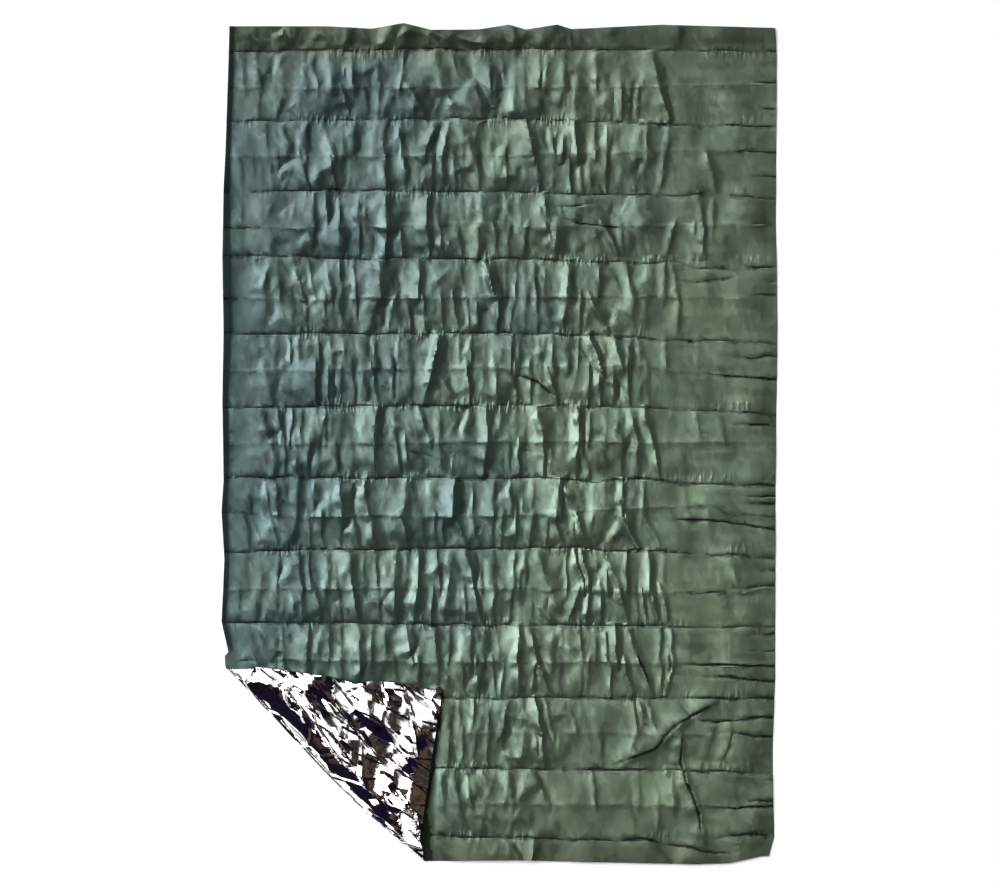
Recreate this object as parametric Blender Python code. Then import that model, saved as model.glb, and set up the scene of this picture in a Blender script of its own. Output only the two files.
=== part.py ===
"""Emergency foil blanket: one sheet of coated film, opened out of its packet and laid on a surface.

The green side is up.  The packet folds run across the sheet as creases, short pleats stand between
them, and the lower left corner is turned over so that its aluminised side shows.  The origin is at
the middle of the footprint, on the surface that the sheet lies on.  Y runs along the sheet, Z is up.
"""
import math

import bmesh
import bpy
import numpy as np

# ---- Driving dimensions, in metres -------------------------------------------------------------
MM = 0.001
SHEET_WIDTH = 1.400
SHEET_LENGTH = 2.100
FILM = 0.0010                 # thickness of the solid that stands for the film
GRID_STEP = 0.007             # pitch of the points before flat areas are thinned out
TRIANGLES_PER_SIDE = 5450     # what the thinning leaves on each side of the film
PACKET_RISE = 0.0032          # height of the hill crease between two valley creases
HILLS_REACH = 0.64            # half of the width over which the hill creases stand up
HILLS_FADE = 0.20
PINCH = 0.10                  # least share of a pleat's height that is left at a packet crease
HALF_PINCH = 0.65             # the same at a hill crease between two valley creases
PINCH_SPREAD = 0.45           # how much that share varies from pleat to pleat
PINCH_STRONG = 0.35           # what it gains on the highest pleats
PEAK_FIRST = 0.25             # a pleat is highest between this share of its length and 1 minus it
NARROWING = 0.4               # share of its width that a pleat loses as it runs out
PLEAT_OVERRUN = 0.006         # how far a pleat runs on past a packet crease
HALF_OVERRUN = 0.034          # how far it runs on past a hill crease
FLAT_CUT = 0.0012             # relief lower than this lies flat on the surface
SNAP_TO_FLAT = 0.0003         # points this close to the surface lie on it
STEEPEST = 0.4                # least upward share of a face's normal, away from the turned corner
MENDING_PASSES = 4
MENDED_FROM = (-140, -540)    # faces right of this x or above this y are mended, in mm

# The laid outline, in millimetres: the sheet is a little uneven on all four sides.
LEFT_EDGE = (      # y, x
    (-1047, -694), (-562, -686), (-530, -688), (-519, -679), (-443, -696), (-288, -689), (-168, -696),
    (-88, -691), (113, -694), (288, -691), (463, -694), (638, -691), (738, -686), (888, -681),
    (1047, -676),
)
RIGHT_EDGE = (     # y, x
    (-1047, 672), (-1000, 686), (-900, 683), (-760, 682), (-600, 688), (-100, 689), (313, 694),
    (560, 690), (980, 692), (1047, 688),
)
BOTTOM_EDGE = (    # x, y
    (-694, -1047), (-186, -1043), (51, -1040), (251, -1045), (501, -1050), (589, -1048), (672, -1030),
)
TOP_EDGE = (       # x, y
    (-676, 1044), (-449, 1044), (-330, 1038), (-250, 1052), (-180, 1035), (-60, 1036), (15, 1048),
    (60, 1036), (139, 1048), (175, 1037), (401, 1048), (688, 1040),
)

# ---- The turned-over corner --------------------------------------------------------------------
CORNER = (-694, -1047)            # where the corner would lie if the sheet were flat, in mm
CORNER_LANDS = (-146, -612)       # where it lies now
FOLD_START = (-683, -562)         # ends of the outer edge of the fold
FOLD_END = (-190, -1041)
FOLD_BOW = 16 * MM                # how far the fold bulges outwards
FOLD_BOW_PEAK = 0.62              # where along the fold it bulges most
ROLL_RADIUS = 5.0 * MM            # inside radius of the fold
FLAP_RISE = 2.0 * MM              # how far the crumpled corner stands up beyond the fold
FLAP_TOP_WOBBLE = (     # x, how far the upper edge bulges out, in mm
    (-683, 0), (-620, 11), (-540, 9), (-470, 4), (-420, 4), (-359, -9), (-319, 5), (-214, 4),
    (-156, -5), (-146, 0),
)
FLAP_SIDE_WOBBLE = (    # y, how far the right edge bulges out, in mm
    (-1041, 0), (-1025, -17), (-942, -4), (-850, 4), (-797, 5), (-715, 6), (-662, 6), (-612, 0),
)
FLAP_WOBBLE_REACH = 70 * MM
FLAP_LEVEL = 10 * MM              # width of the level strip beside the fold
FLAP_SETTLE = 50 * MM             # distance past that strip over which the crumples begin
FLAP_OVERRUN = 0.026              # how far a fold on the corner runs on past its ends
FLAP_RISE_LENGTH = 120 * MM
FACET_SHARE = 0.45                # share of the facet heights that a crumple reaches
COVERED_SHARE = 0.4               # share of the relief that is kept under the turned corner
COVERED_FROM = (-140, -590)       # x and y of the covered part's upper right corner, in mm
CALM_WIDTH = 45 * MM              # the sheet lies flat this far in front of the fold
CALM_FADE = 30 * MM
FLAP_FACETS = (         # direction of the slope in degrees, wavelength in mm, height in mm, phase
    (4, 92, 5.0, 0.10), (-20, 143, 4.0, 0.62), (52, 117, 3.4, 0.35), (-62, 171, 3.0, 0.80),
    (82, 214, 2.4, 0.20),
)
FLAP_FOLDS = (          # x and y of one end, x and y of the other, left side, right side, grade
    (-470, -572, -478, -648, 62, 56, 8), (-282, -625, -268, -728, 55, 48, 7),
    (-226, -715, -232, -815, 34, 62, 8), (-236, -812, -226, -945, 30, 56, 8),
    (-378, -735, -366, -795, 34, 32, 5), (-344, -745, -350, -852, 14, 34, 6),
    (-302, -848, -284, -915, 26, 32, 5), (-322, -900, -300, -955, 12, 30, 5),
    (-268, -765, -262, -892, 34, 16, 5), (-340, -605, -322, -690, 30, 24, 5),
    (-520, -610, -496, -655, 26, 30, 5),
)

# ---- Folds, in millimetres ---------------------------------------------------------------------
# Each band of the sheet lies between two creases.  A pleat runs from the band's upper crease to its
# lower one: x_top, x_bottom, width of its left side, width of its right side, grade.
GRADE_HEIGHTS = {4: 2.4, 5: 3.2, 6: 4.2, 7: 5.5, 8: 7.0, 9: 9.0}     # height in mm of a fold of each grade
BANDS = (          # y of the upper crease, y of the lower crease, pleats
    (1047, 980, ()),
    (980, 890, ((-432, -420, 40, 28, 6), (-240, -250, 12, 14, 5), (-165, -145, 65, 30, 6),
                (-28, -24, 35, 12, 5), (118, 112, 14, 22, 5), (238, 240, 22, 28, 6),
                 (380, 398, 80, 24, 7))),
    (890, 808, ((-440, -438, 42, 36, 5), (-230, -178, 16, 16, 6), (-60, -36, 60, 18, 6),
                (152, 142, 24, 16, 5), (188, 186, 20, 40, 5), (398, 424, 70, 18, 8))),
    (808, 718, ((-448, -415, 22, 14, 5), (-290, -290, 62, 28, 8), (-256, -246, 10, 20, 5),
                (-160, -190, 45, 22, 7), (-128, -146, 16, 16, 6), (66, 84, 62, 22, 8),
                (186, 192, 36, 28, 9), (236, 236, 20, 12, 5), (366, 366, 34, 34, 7))),
    (718, 628, ((-425, -412, 22, 12, 5), (-288, -286, 60, 24, 8), (-243, -236, 14, 18, 5),
                (-148, -138, 16, 16, 5), (-58, -54, 24, 14, 5), (92, 98, 16, 20, 5),
                (172, 176, 22, 12, 6))),
    (628, 540, ((-464, -466, 50, 12, 5), (-436, -430, 16, 12, 5), (-404, -402, 14, 12, 5),
                (-286, -286, 48, 58, 9), (-180, -184, 38, 20, 7), (-47, -44, 50, 42, 6),
                (112, 118, 42, 26, 7))),
    (540, 462, ((-404, -404, 36, 24, 6), (-352, -350, 20, 12, 5), (-286, -286, 34, 20, 8),
                (-248, -244, 14, 16, 5), (-182, -176, 34, 14, 6), (-52, -54, 40, 20, 7),
                (140, 138, 42, 36, 7), (262, 302, 14, 12, 5), (434, 410, 24, 14, 5),
                (508, 512, 32, 12, 6))),
    (462, 367, ((-300, -300, 46, 46, 8), (-204, -206, 44, 24, 8), (-40, -14, 16, 28, 9),
                (168, 166, 36, 34, 8))),
    (367, 275, ((-304, -330, 44, 16, 6), (-262, -284, 14, 20, 5), (-232, -222, 18, 12, 5),
                (-194, -188, 24, 22, 7), (-8, -8, 24, 12, 8), (164, 160, 34, 14, 6), (200, 196, 16, 12, 5),
                (226, 272, 14, 14, 6))),
    (275, 190, ((-152, -168, 42, 34, 9), (30, 24, 22, 14, 5), (128, 134, 24, 16, 6), (224, 254, 26, 14, 8),
                (282, 306, 30, 20, 7))),
    (190, 95, ((-590, -568, 50, 26, 5), (-462, -462, 80, 16, 8), (-318, -304, 18, 12, 5),
               (-170, -190, 42, 22, 8), (-82, -80, 44, 14, 8), (36, 42, 22, 10, 5), (74, 76, 20, 12, 5),
               (122, 144, 14, 12, 5), (222, 216, 30, 12, 5), (248, 252, 18, 14, 5), (282, 278, 16, 20, 5),
               (318, 326, 22, 12, 6))),
    (95, 5, ((-602, -574, 50, 20, 6), (-306, -318, 56, 26, 8), (-206, -178, 14, 26, 6),
             (-36, -30, 26, 28, 8), (92, 106, 30, 44, 8), (192, 196, 26, 22, 9), (322, 346, 22, 14, 6),
             (356, 380, 20, 16, 6))),
    (5, -85, ((-570, -566, 60, 20, 6), (-314, -312, 46, 28, 8), (-262, -248, 16, 10, 5),
              (-152, -144, 26, 24, 5), (-34, -42, 28, 28, 8), (106, 112, 28, 12, 7), (194, 190, 22, 14, 7),
              (200, 222, 12, 14, 5), (302, 300, 22, 14, 5), (346, 342, 24, 26, 6), (380, 398, 20, 14, 6))),
    (-85, -181, ((-506, -508, 36, 26, 6), (-338, -330, 30, 56, 8), (-234, -246, 26, 38, 7),
                 (-110, -118, 46, 24, 9), (-14, -18, 32, 16, 6), (148, 140, 44, 22, 9),
                 (156, 190, 10, 18, 5), (304, 306, 20, 14, 8), (358, 356, 14, 18, 5))),
    (-181, -265, ((-572, -556, 42, 14, 5), (-506, -522, 34, 14, 5), (-448, -446, 26, 18, 5),
                  (-328, -314, 22, 50, 7), (-250, -226, 30, 20, 7), (-142, -144, 18, 12, 5),
                  (-112, -82, 24, 16, 7), (-20, -20, 26, 14, 5), (84, 72, 18, 16, 5),
                  (118, 112, 18, 10, 5), (134, 160, 20, 12, 6), (192, 222, 14, 16, 7),
                  (306, 346, 22, 14, 8), (362, 404, 16, 14, 5))),
    (-265, -361, ((-432, -436, 22, 16, 5), (-376, -372, 30, 24, 6), (-262, -264, 24, 28, 7),
                  (-206, -206, 22, 20, 7), (-158, -152, 26, 10, 5), (-132, -128, 14, 30, 5),
                  (-88, -66, 22, 16, 6), (36, 34, 18, 12, 5), (92, 122, 34, 40, 7), (186, 210, 18, 10, 7),
                  (204, 222, 12, 12, 7), (262, 298, 12, 16, 6), (314, 316, 16, 14, 5),
                  (372, 374, 28, 24, 8))),
    (-361, -450, ((-496, -494, 50, 16, 6), (-404, -398, 22, 14, 5), (-370, -352, 34, 16, 7),
                  (-262, -264, 26, 26, 7), (-204, -218, 20, 26, 7), (-168, -176, 14, 10, 5),
                  (-132, -142, 20, 30, 6), (-66, -48, 20, 14, 7), (32, 20, 18, 10, 5),
                  (122, 124, 34, 40, 6), (200, 166, 18, 12, 6), (224, 214, 12, 10, 5),
                  (250, 250, 16, 14, 6), (298, 318, 14, 16, 6), (354, 368, 12, 9, 5),
                  (380, 392, 14, 18, 7), (402, 422, 12, 14, 5))),
    (-450, -545, ((-480, -484, 40, 14, 6), (-428, -430, 24, 12, 5), (-355, -352, 32, 20, 6),
                  (-236, -222, 28, 16, 6), (-160, -160, 26, 14, 6), (-72, -72, 30, 12, 5),
                  (50, 42, 34, 16, 7), (70, 92, 16, 14, 6), (290, 290, 36, 20, 8), (314, 346, 14, 14, 6),
                  (428, 430, 16, 12, 5))),
    (-545, -632, ((-480, -476, 34, 14, 5), (-352, -350, 30, 18, 6), (-206, -202, 28, 14, 6),
                  (-156, -160, 20, 12, 5), (-96, -92, 24, 12, 5), (46, 42, 22, 12, 6), (88, 78, 16, 12, 5),
                  (94, 126, 14, 14, 6), (274, 276, 18, 12, 6), (312, 332, 18, 12, 6),
                  (348, 384, 14, 14, 6), (430, 412, 12, 12, 5))),
    (-632, -722, ((-62, -70, 14, 10, 5), (26, 2, 14, 12, 5), (88, 104, 26, 14, 8), (332, 344, 20, 12, 5),
                  (362, 392, 14, 16, 5))),
    (-722, -810, ((104, 112, 22, 14, 7),)),
    (-810, -899, ()),
    (-899, -980, ()),
    (-980, -1047, ((85, 78, 26, 20, 6),)),
)
# Short pleats of the lowest grade fill the gaps between the main ones, over this part of the width.
PLEATED_ZONE = (   # y, x of its left end, x of its right end, in mm
    (-1047, -60, -40), (-980, -120, 20), (-810, -150, 70), (-722, -140, 130), (-632, -560, 160),
    (-450, -630, 240), (-265, -560, 300), (-85, -600, 260), (95, -560, 340), (275, -540, 320),
    (460, -560, 370), (628, -470, 350), (890, -600, 370), (1047, -650, 120),
)
SMALL_GRADE = 4
SMALL_LEFT = (11, 8)          # least width of a short pleat's left side, and how much it varies, in mm
SMALL_RIGHT = (8, 5)
SMALL_GAP = 12                # widest gap between two short pleats, in mm
SMALL_LEAN = 14               # how far a short pleat's ends differ in x, in mm
# Folds that run across the bands: x and y of one end, x and y of the other, left side, right side, grade.
CROSS_FOLDS = (
    (540, -648, 472, -680, 60, 16, 6), (472, -680, 430, -720, 70, 26, 7),
    (430, -720, 395, -756, 70, 24, 7), (395, -756, 310, -796, 60, 16, 6),
    (452, -715, 450, -800, 44, 16, 6), (450, -800, 475, -870, 44, 20, 6),
    (475, -870, 500, -930, 44, 18, 6), (500, -930, 515, -1005, 40, 14, 5),
    (585, -700, 546, -815, 34, 18, 4), (85, -990, 78, -1040, 26, 18, 6),
)
# Short steep folds that catch the light: x and y of one end, x and y of the other, both sides, grade.
BRIGHT_FOLDS = (
    (-462, 925, -452, 868, 14, 26, 6), (158, 772, 154, 700, 16, 24, 7), (92, 602, 112, 560, 13, 22, 6),
    (118, 552, 134, 478, 15, 20, 7), (-40, 452, -18, 380, 14, 20, 7), (488, 555, 480, 505, 11, 20, 5),
    (222, 262, 238, 205, 13, 22, 6), (-342, 92, -330, 30, 15, 26, 6), (-42, 44, -34, -18, 12, 22, 6),
    (92, 40, 100, -22, 13, 20, 6), (176, 62, 184, -40, 13, 18, 6), (-138, -112, -128, -172, 13, 24, 6),
    (128, -96, 140, -160, 14, 22, 7), (306, -140, 330, -262, 16, 20, 7), (262, -470, 272, -560, 15, 24, 7),
    (346, -642, 362, -700, 16, 24, 7), (82, -705, 96, -792, 14, 24, 6), (414, -808, 424, -838, 11, 16, 5),
)
# Where the sheet rises under the free edge of the turned corner and slopes down beside it.
CORNER_SLOPES = (
    (-154, -610, -160, -720, 36, 24, 6), (-160, -705, -180, -812, 36, 24, 6),
    (-179, -795, -193, -912, 36, 28, 6), (-191, -895, -218, -1030, 40, 46, 7),
)
EDGE_CURL = (5 * MM, 18 * MM)     # height and width of the strip that stands up along the left edge


def along(table, values):
    """Read a two-column table in millimetres at the given places in metres."""
    rows = np.array(table, dtype=float) * MM
    return np.interp(values, rows[:, 0], rows[:, 1])


def ease(values):
    """Rise softly from 0 to 1."""
    steps = np.clip(values, 0.0, 1.0)
    return steps * steps * (3.0 - 2.0 * steps)


def lay_out(across, length):
    """Place the flat sheet's points inside the uneven laid outline."""
    share_x = across / SHEET_WIDTH + 0.5
    share_y = length / SHEET_LENGTH + 0.5
    first_x = across * (1.384 / SHEET_WIDTH)
    first_y = length * (2.094 / SHEET_LENGTH)
    x = along(LEFT_EDGE, first_y) * (1.0 - share_x) + along(RIGHT_EDGE, first_y) * share_x
    y = along(BOTTOM_EDGE, first_x) * (1.0 - share_y) + along(TOP_EDGE, first_x) * share_y
    return x, y


def chance(x, y, draw):
    """A number from 0 to 1 that differs from pleat to pleat and is the same on every run."""
    value = math.sin(x * 12.9898 + y * 78.233 + draw * 37.719) * 43758.5453
    return value - math.floor(value)


def small_pleats(top, bottom, folds):
    """Short pleats that stand between a band's main ones."""
    rows = np.array(PLEATED_ZONE, dtype=float)
    middle = (top + bottom) / 2.0
    place = float(np.interp(middle, rows[:, 0], rows[:, 1]))
    end = float(np.interp(middle, rows[:, 0], rows[:, 2]))
    taken = [(min(row[0], row[1]) - row[2], max(row[0], row[1]) + row[3]) for row in folds]
    pleats = []
    while place < end:
        left = SMALL_LEFT[0] + SMALL_LEFT[1] * chance(place, top, 4)
        right = SMALL_RIGHT[0] + SMALL_RIGHT[1] * chance(place, top, 5)
        lean = SMALL_LEAN * (chance(place, top, 6) - 0.5)
        if all(place + right < low or place - left > high for low, high in taken):
            pleats.append((place - lean, place + lean, left, right, SMALL_GRADE))
        place += left + right + SMALL_GAP * chance(place, top, 7)
    return pleats


def ridge(x, y, fold, holds, overruns):
    """Height of one fold: a crest that is highest part of the way along.

    holds and overruns give, for its two ends, the least share of its height that is kept there and
    how far it runs on past them.
    """
    x0, y0, x1, y1, left, right, grade = fold
    run = np.array((x1 - x0, y1 - y0), dtype=float) * MM
    length = float(np.hypot(run[0], run[1]))
    run /= length
    past_x = x - x0 * MM
    past_y = y - y0 * MM
    share = (past_x * run[0] + past_y * run[1]) / length
    side = past_x * run[1] - past_y * run[0]      # negative on the right when the fold runs downwards

    strong = PINCH_STRONG * (grade - SMALL_GRADE) / 5.0
    first = min(1.0, holds[0] + strong + PINCH_SPREAD * chance(x0, y0, 1))
    last = min(1.0, holds[1] + strong + PINCH_SPREAD * chance(x0, y0, 2))
    peak = PEAK_FIRST + (1.0 - 2.0 * PEAK_FIRST) * chance(x0, y0, 3)
    rising = first + (1.0 - first) * np.clip(share / peak, 0.0, 1.0)
    falling = last + (1.0 - last) * np.clip((1.0 - share) / (1.0 - peak), 0.0, 1.0)
    past_end = np.maximum(-share * length / overruns[0], (share - 1.0) * length / overruns[1])
    swell = np.minimum(rising, falling) * ease(1.0 - past_end)

    width = np.where(side < 0.0, right, left) * MM * (1.0 - NARROWING * (1.0 - swell))
    slope = np.clip(1.0 - np.abs(side) / width, 0.0, 1.0)
    return GRADE_HEIGHTS[grade] * MM * swell * (0.7 * slope + 0.3 * ease(slope))


def packet_hills(y):
    """Height of the shallow hills between the packet's valley creases."""
    hills = np.zeros_like(y)
    tops = [band[0] * MM for band in BANDS]
    for upper, middle, lower in zip(tops[1::2], tops[2::2], tops[3::2]):
        rise = np.where(y > middle, (upper - y) / (upper - middle), (y - lower) / (middle - lower))
        hills = np.maximum(hills, np.clip(rise, 0.0, 1.0) * PACKET_RISE)
    return hills


def relief(x, y):
    """Height of the laid sheet above the surface, without its thickness."""
    pleats = np.zeros_like(x)
    for number, (top, bottom, folds) in enumerate(BANDS):
        holds, overruns = (PINCH, HALF_PINCH), (PLEAT_OVERRUN, HALF_OVERRUN)
        if number % 2 == 0:       # the band's upper crease is a hill crease and its lower one a valley
            holds, overruns = holds[::-1], overruns[::-1]
        for x_top, x_bottom, left, right, grade in (*folds, *small_pleats(top, bottom, folds)):
            fold = (x_top, top, x_bottom, bottom, left, right, grade)
            pleats = np.maximum(pleats, ridge(x, y, fold, holds, overruns))
    for fold in (*CROSS_FOLDS, *BRIGHT_FOLDS):
        pleats = np.maximum(pleats, ridge(x, y, fold, (PINCH, PINCH), (PLEAT_OVERRUN, PLEAT_OVERRUN)))
    middle = ease((HILLS_REACH - np.abs(x)) / HILLS_FADE)
    height = np.maximum(pleats + middle * packet_hills(y) - FLAT_CUT, 0.0)
    from_left = x - along(LEFT_EDGE, y)
    return height + EDGE_CURL[0] * ease(1.0 - from_left / EDGE_CURL[1]) * (y > FOLD_START[1] * MM)


def corner_slopes(x, y):
    """Height of the sheet where it rises under the free edge of the turned corner."""
    height = np.zeros_like(x)
    for fold in CORNER_SLOPES:
        height = np.maximum(height, ridge(x, y, fold, (PINCH, PINCH), (PLEAT_OVERRUN, PLEAT_OVERRUN)))
    return height


def facets(x, y):
    """Crumpled film: its main folds, and flat facets between straight creases that run several ways."""
    total = np.zeros_like(x)
    for fold in FLAP_FOLDS:
        total = np.maximum(total, ridge(x, y, fold, (PINCH, PINCH), (FLAP_OVERRUN, FLAP_OVERRUN)))
    for angle, wavelength, height, phase in FLAP_FACETS:
        turn = math.radians(angle)
        wave = (x * math.cos(turn) + y * math.sin(turn)) / (wavelength * MM) + phase
        total += FACET_SHARE * height * MM * np.abs(2.0 * (wave - np.floor(wave)) - 1.0)
    return total


def roll_line(share):
    """How far out the film starts to roll over, at a share of the fold's length."""
    skewed = np.clip(share, 0.0, 1.0) ** (math.log(0.5) / math.log(FOLD_BOW_PEAK))
    return FOLD_BOW * np.sin(math.pi * skewed) - ROLL_RADIUS - FILM


def fold_corner(x, y, z):
    """Turn the lower left corner over along the fold, green side inwards."""
    start = np.array(FOLD_START, dtype=float) * MM
    end = np.array(FOLD_END, dtype=float) * MM
    length = float(np.linalg.norm(end - start))
    along_fold = (end - start) / length
    outward = np.array((along_fold[1], -along_fold[0]))
    place = (x - start[0]) * along_fold[0] + (y - start[1]) * along_fold[1]
    past = (x - start[0]) * outward[0] + (y - start[1]) * outward[1]
    roll_start = roll_line(place / length)
    excess = past - roll_start
    arc = math.pi * ROLL_RADIUS
    angle = np.clip(excess / ROLL_RADIUS, 0.0, math.pi)
    beyond = np.maximum(excess - arc, 0.0)

    corner = np.array(CORNER, dtype=float) * MM - start
    corner_place = float(corner @ along_fold)
    corner_roll = float(roll_line(corner_place / length))
    lands = np.array(CORNER_LANDS, dtype=float) * MM
    foot = start + along_fold * corner_place + outward * corner_roll
    back = (lands - foot) / (float(corner @ outward) - corner_roll - arc)

    line_x = start[0] + along_fold[0] * place + outward[0] * roll_start
    line_y = start[1] + along_fold[1] * place + outward[1] * roll_start
    flap_x = line_x + outward[0] * ROLL_RADIUS * np.sin(angle) + back[0] * beyond
    flap_y = line_y + outward[1] * ROLL_RADIUS * np.sin(angle) + back[1] * beyond
    settle = np.clip((beyond - FLAP_LEVEL) / FLAP_SETTLE, 0.0, 1.0)
    below_top = np.interp(flap_x, (start[0], lands[0]), (start[1], lands[1])) - flap_y
    inside = np.interp(flap_y, (end[1], lands[1]), (end[0], lands[0])) - flap_x
    top_shift = along(FLAP_TOP_WOBBLE, flap_x) * np.exp(-np.maximum(below_top, 0.0) / FLAP_WOBBLE_REACH)
    side_shift = along(FLAP_SIDE_WOBBLE, flap_y) * np.exp(-np.maximum(inside, 0.0) / FLAP_WOBBLE_REACH)
    crumple = FLAP_RISE * ease(beyond / FLAP_RISE_LENGTH) + facets(flap_x, flap_y)
    flap_z = FILM + ROLL_RADIUS * (1.0 - np.cos(angle)) + settle * crumple

    on_flap = excess > 0.0
    return (np.where(on_flap, flap_x + side_shift * settle, x),
            np.where(on_flap, flap_y + top_shift * settle, y),
            np.where(on_flap, flap_z, z))


def calm_share(x, y):
    """Share of the relief that is kept: none at the fold, and less under the turned corner."""
    start = np.array(FOLD_START, dtype=float) * MM
    run = np.array(FOLD_END, dtype=float) * MM - start
    run /= np.linalg.norm(run)
    before = (y - start[1]) * run[0] - (x - start[0]) * run[1]
    covered = ease((COVERED_FROM[0] * MM - x) / CALM_FADE) * ease((COVERED_FROM[1] * MM - y) / CALM_FADE)
    return ease((before - CALM_WIDTH) / CALM_FADE + 0.5) * (1.0 - (1.0 - COVERED_SHARE) * covered)


def film_material():
    """Green coated film with a satin sheen."""
    material = bpy.data.materials.new("green_film")
    material.use_nodes = True
    surface = material.node_tree.nodes["Principled BSDF"]
    surface.inputs["Base Color"].default_value = (0.125, 0.160, 0.115, 1.0)
    surface.inputs["Roughness"].default_value = 0.34
    surface.inputs["Metallic"].default_value = 0.35
    return material


def mend_tipped_faces(mesh):
    """Close up the few faces that the thinning tipped over, away from the turned corner."""
    shape = bmesh.new()
    shape.from_mesh(mesh)
    for _ in range(MENDING_PASSES):
        shape.normal_update()
        shortest = set()
        for face in shape.faces:
            middle = face.calc_center_median() / MM
            away = middle.x > MENDED_FROM[0] or middle.y > MENDED_FROM[1]
            if away and face.normal.z < STEEPEST:
                shortest.add(min(face.edges, key=lambda edge: edge.calc_length()))
        if not shortest:
            break
        bmesh.ops.collapse(shape, edges=list(shortest))
    shape.to_mesh(mesh)
    shape.free()


def build_sheet():
    """Make the sheet as a fine grid, shape it, thin out its flat areas and give it its thickness."""
    columns = round(SHEET_WIDTH / GRID_STEP)
    rows = round(SHEET_LENGTH / GRID_STEP)
    shape = bmesh.new()
    bmesh.ops.create_grid(shape, x_segments=columns, y_segments=rows, size=0.5)
    bmesh.ops.triangulate(shape, faces=shape.faces[:])
    mesh = bpy.data.meshes.new("foil_sheet")
    shape.to_mesh(mesh)
    shape.free()

    flat = np.empty(len(mesh.vertices) * 3)
    mesh.vertices.foreach_get("co", flat)
    flat = flat.reshape(-1, 3)
    x, y = lay_out(flat[:, 0] * SHEET_WIDTH, flat[:, 1] * SHEET_LENGTH)
    z = FILM + relief(x, y) * calm_share(x, y) + corner_slopes(x, y)
    mesh.vertices.foreach_set("co", np.column_stack(fold_corner(x, y, z)).ravel())
    mesh.materials.append(film_material())

    sheet = bpy.data.objects.new("foil_sheet", mesh)
    bpy.context.scene.collection.objects.link(sheet)
    thin_out = sheet.modifiers.new("thin out flat areas", "DECIMATE")
    thin_out.ratio = TRIANGLES_PER_SIDE / len(mesh.polygons)
    thinned = bpy.data.meshes.new_from_object(sheet.evaluated_get(bpy.context.evaluated_depsgraph_get()))
    sheet.modifiers.remove(thin_out)
    sheet.data = thinned
    bpy.data.meshes.remove(mesh)
    thinned.name = "foil_sheet"
    mend_tipped_faces(thinned)

    points = np.empty(len(thinned.vertices) * 3)
    thinned.vertices.foreach_get("co", points)
    points = points.reshape(-1, 3)
    points[:, 2] = np.where(points[:, 2] < FILM + SNAP_TO_FLAT, FILM, points[:, 2])
    thinned.vertices.foreach_set("co", points.ravel())

    thickness = sheet.modifiers.new("film thickness", "SOLIDIFY")
    thickness.thickness = FILM
    thickness.offset = -1.0
    return sheet


for leftover in list(bpy.data.objects):
    bpy.data.objects.remove(leftover, do_unlink=True)
build_sheet()
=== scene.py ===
"""Studio scene of an emergency foil blanket, laid out flat with its lower left corner turned over.

The blanket is one sheet of coated film.  Its green side is up and keeps the creases of the packet it
was folded into, with short pleats standing between them.  The turned-over corner shows the bright
aluminised side.  The sheet is shaped from the tables below: the laid outline, the creases
and, for each band between two creases, the pleats that stand there.  Table lengths are in millimetres.
"""
from __future__ import annotations

import logging
import math
from collections.abc import Callable
from dataclasses import dataclass
from enum import Enum, IntEnum

import bpy
import numpy as np
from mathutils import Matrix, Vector

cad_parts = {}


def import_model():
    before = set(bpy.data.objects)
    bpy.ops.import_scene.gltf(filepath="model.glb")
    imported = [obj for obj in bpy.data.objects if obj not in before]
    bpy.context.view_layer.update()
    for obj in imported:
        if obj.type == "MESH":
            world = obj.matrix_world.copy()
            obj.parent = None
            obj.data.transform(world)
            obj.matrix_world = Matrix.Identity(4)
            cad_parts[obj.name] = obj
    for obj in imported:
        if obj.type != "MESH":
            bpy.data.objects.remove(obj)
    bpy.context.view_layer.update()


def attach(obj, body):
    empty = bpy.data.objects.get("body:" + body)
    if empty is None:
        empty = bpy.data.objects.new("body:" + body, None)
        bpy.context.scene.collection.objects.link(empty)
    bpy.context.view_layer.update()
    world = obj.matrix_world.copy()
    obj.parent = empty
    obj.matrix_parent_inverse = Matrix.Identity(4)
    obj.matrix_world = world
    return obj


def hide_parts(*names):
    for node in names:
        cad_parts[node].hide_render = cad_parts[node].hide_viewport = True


LOG = logging.getLogger("foil_blanket")
Array = np.ndarray
Row = tuple[float, ...]
Point = tuple[float, float]

MM = 0.001
SHEET_WIDTH = 1.400           # the flat sheet, in metres
SHEET_LENGTH = 2.100
FILM = 0.5 * MM               # its thickness

# ---- The laid outline ----
LEFT_EDGE = (      # y, x
    (-1047, -694), (-562, -686), (-530, -688), (-519, -679), (-443, -696), (-288, -689), (-168, -696),
    (-88, -691), (113, -694), (288, -691), (463, -694), (638, -691), (738, -686), (888, -681),
    (1047, -676),
)
RIGHT_EDGE = (     # y, x
    (-1047, 672), (-1000, 686), (-900, 683), (-760, 682), (-600, 688), (-100, 689), (313, 694),
    (560, 690), (980, 692), (1047, 688),
)
BOTTOM_EDGE = (    # x, y
    (-694, -1047), (-186, -1043), (51, -1040), (251, -1045), (501, -1050), (589, -1048), (672, -1030),
)
TOP_EDGE = (       # x, y
    (-676, 1044), (-449, 1044), (-330, 1038), (-250, 1052), (-180, 1035), (-60, 1036), (15, 1048),
    (60, 1036), (139, 1048), (175, 1037), (401, 1048), (688, 1040),
)

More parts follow.
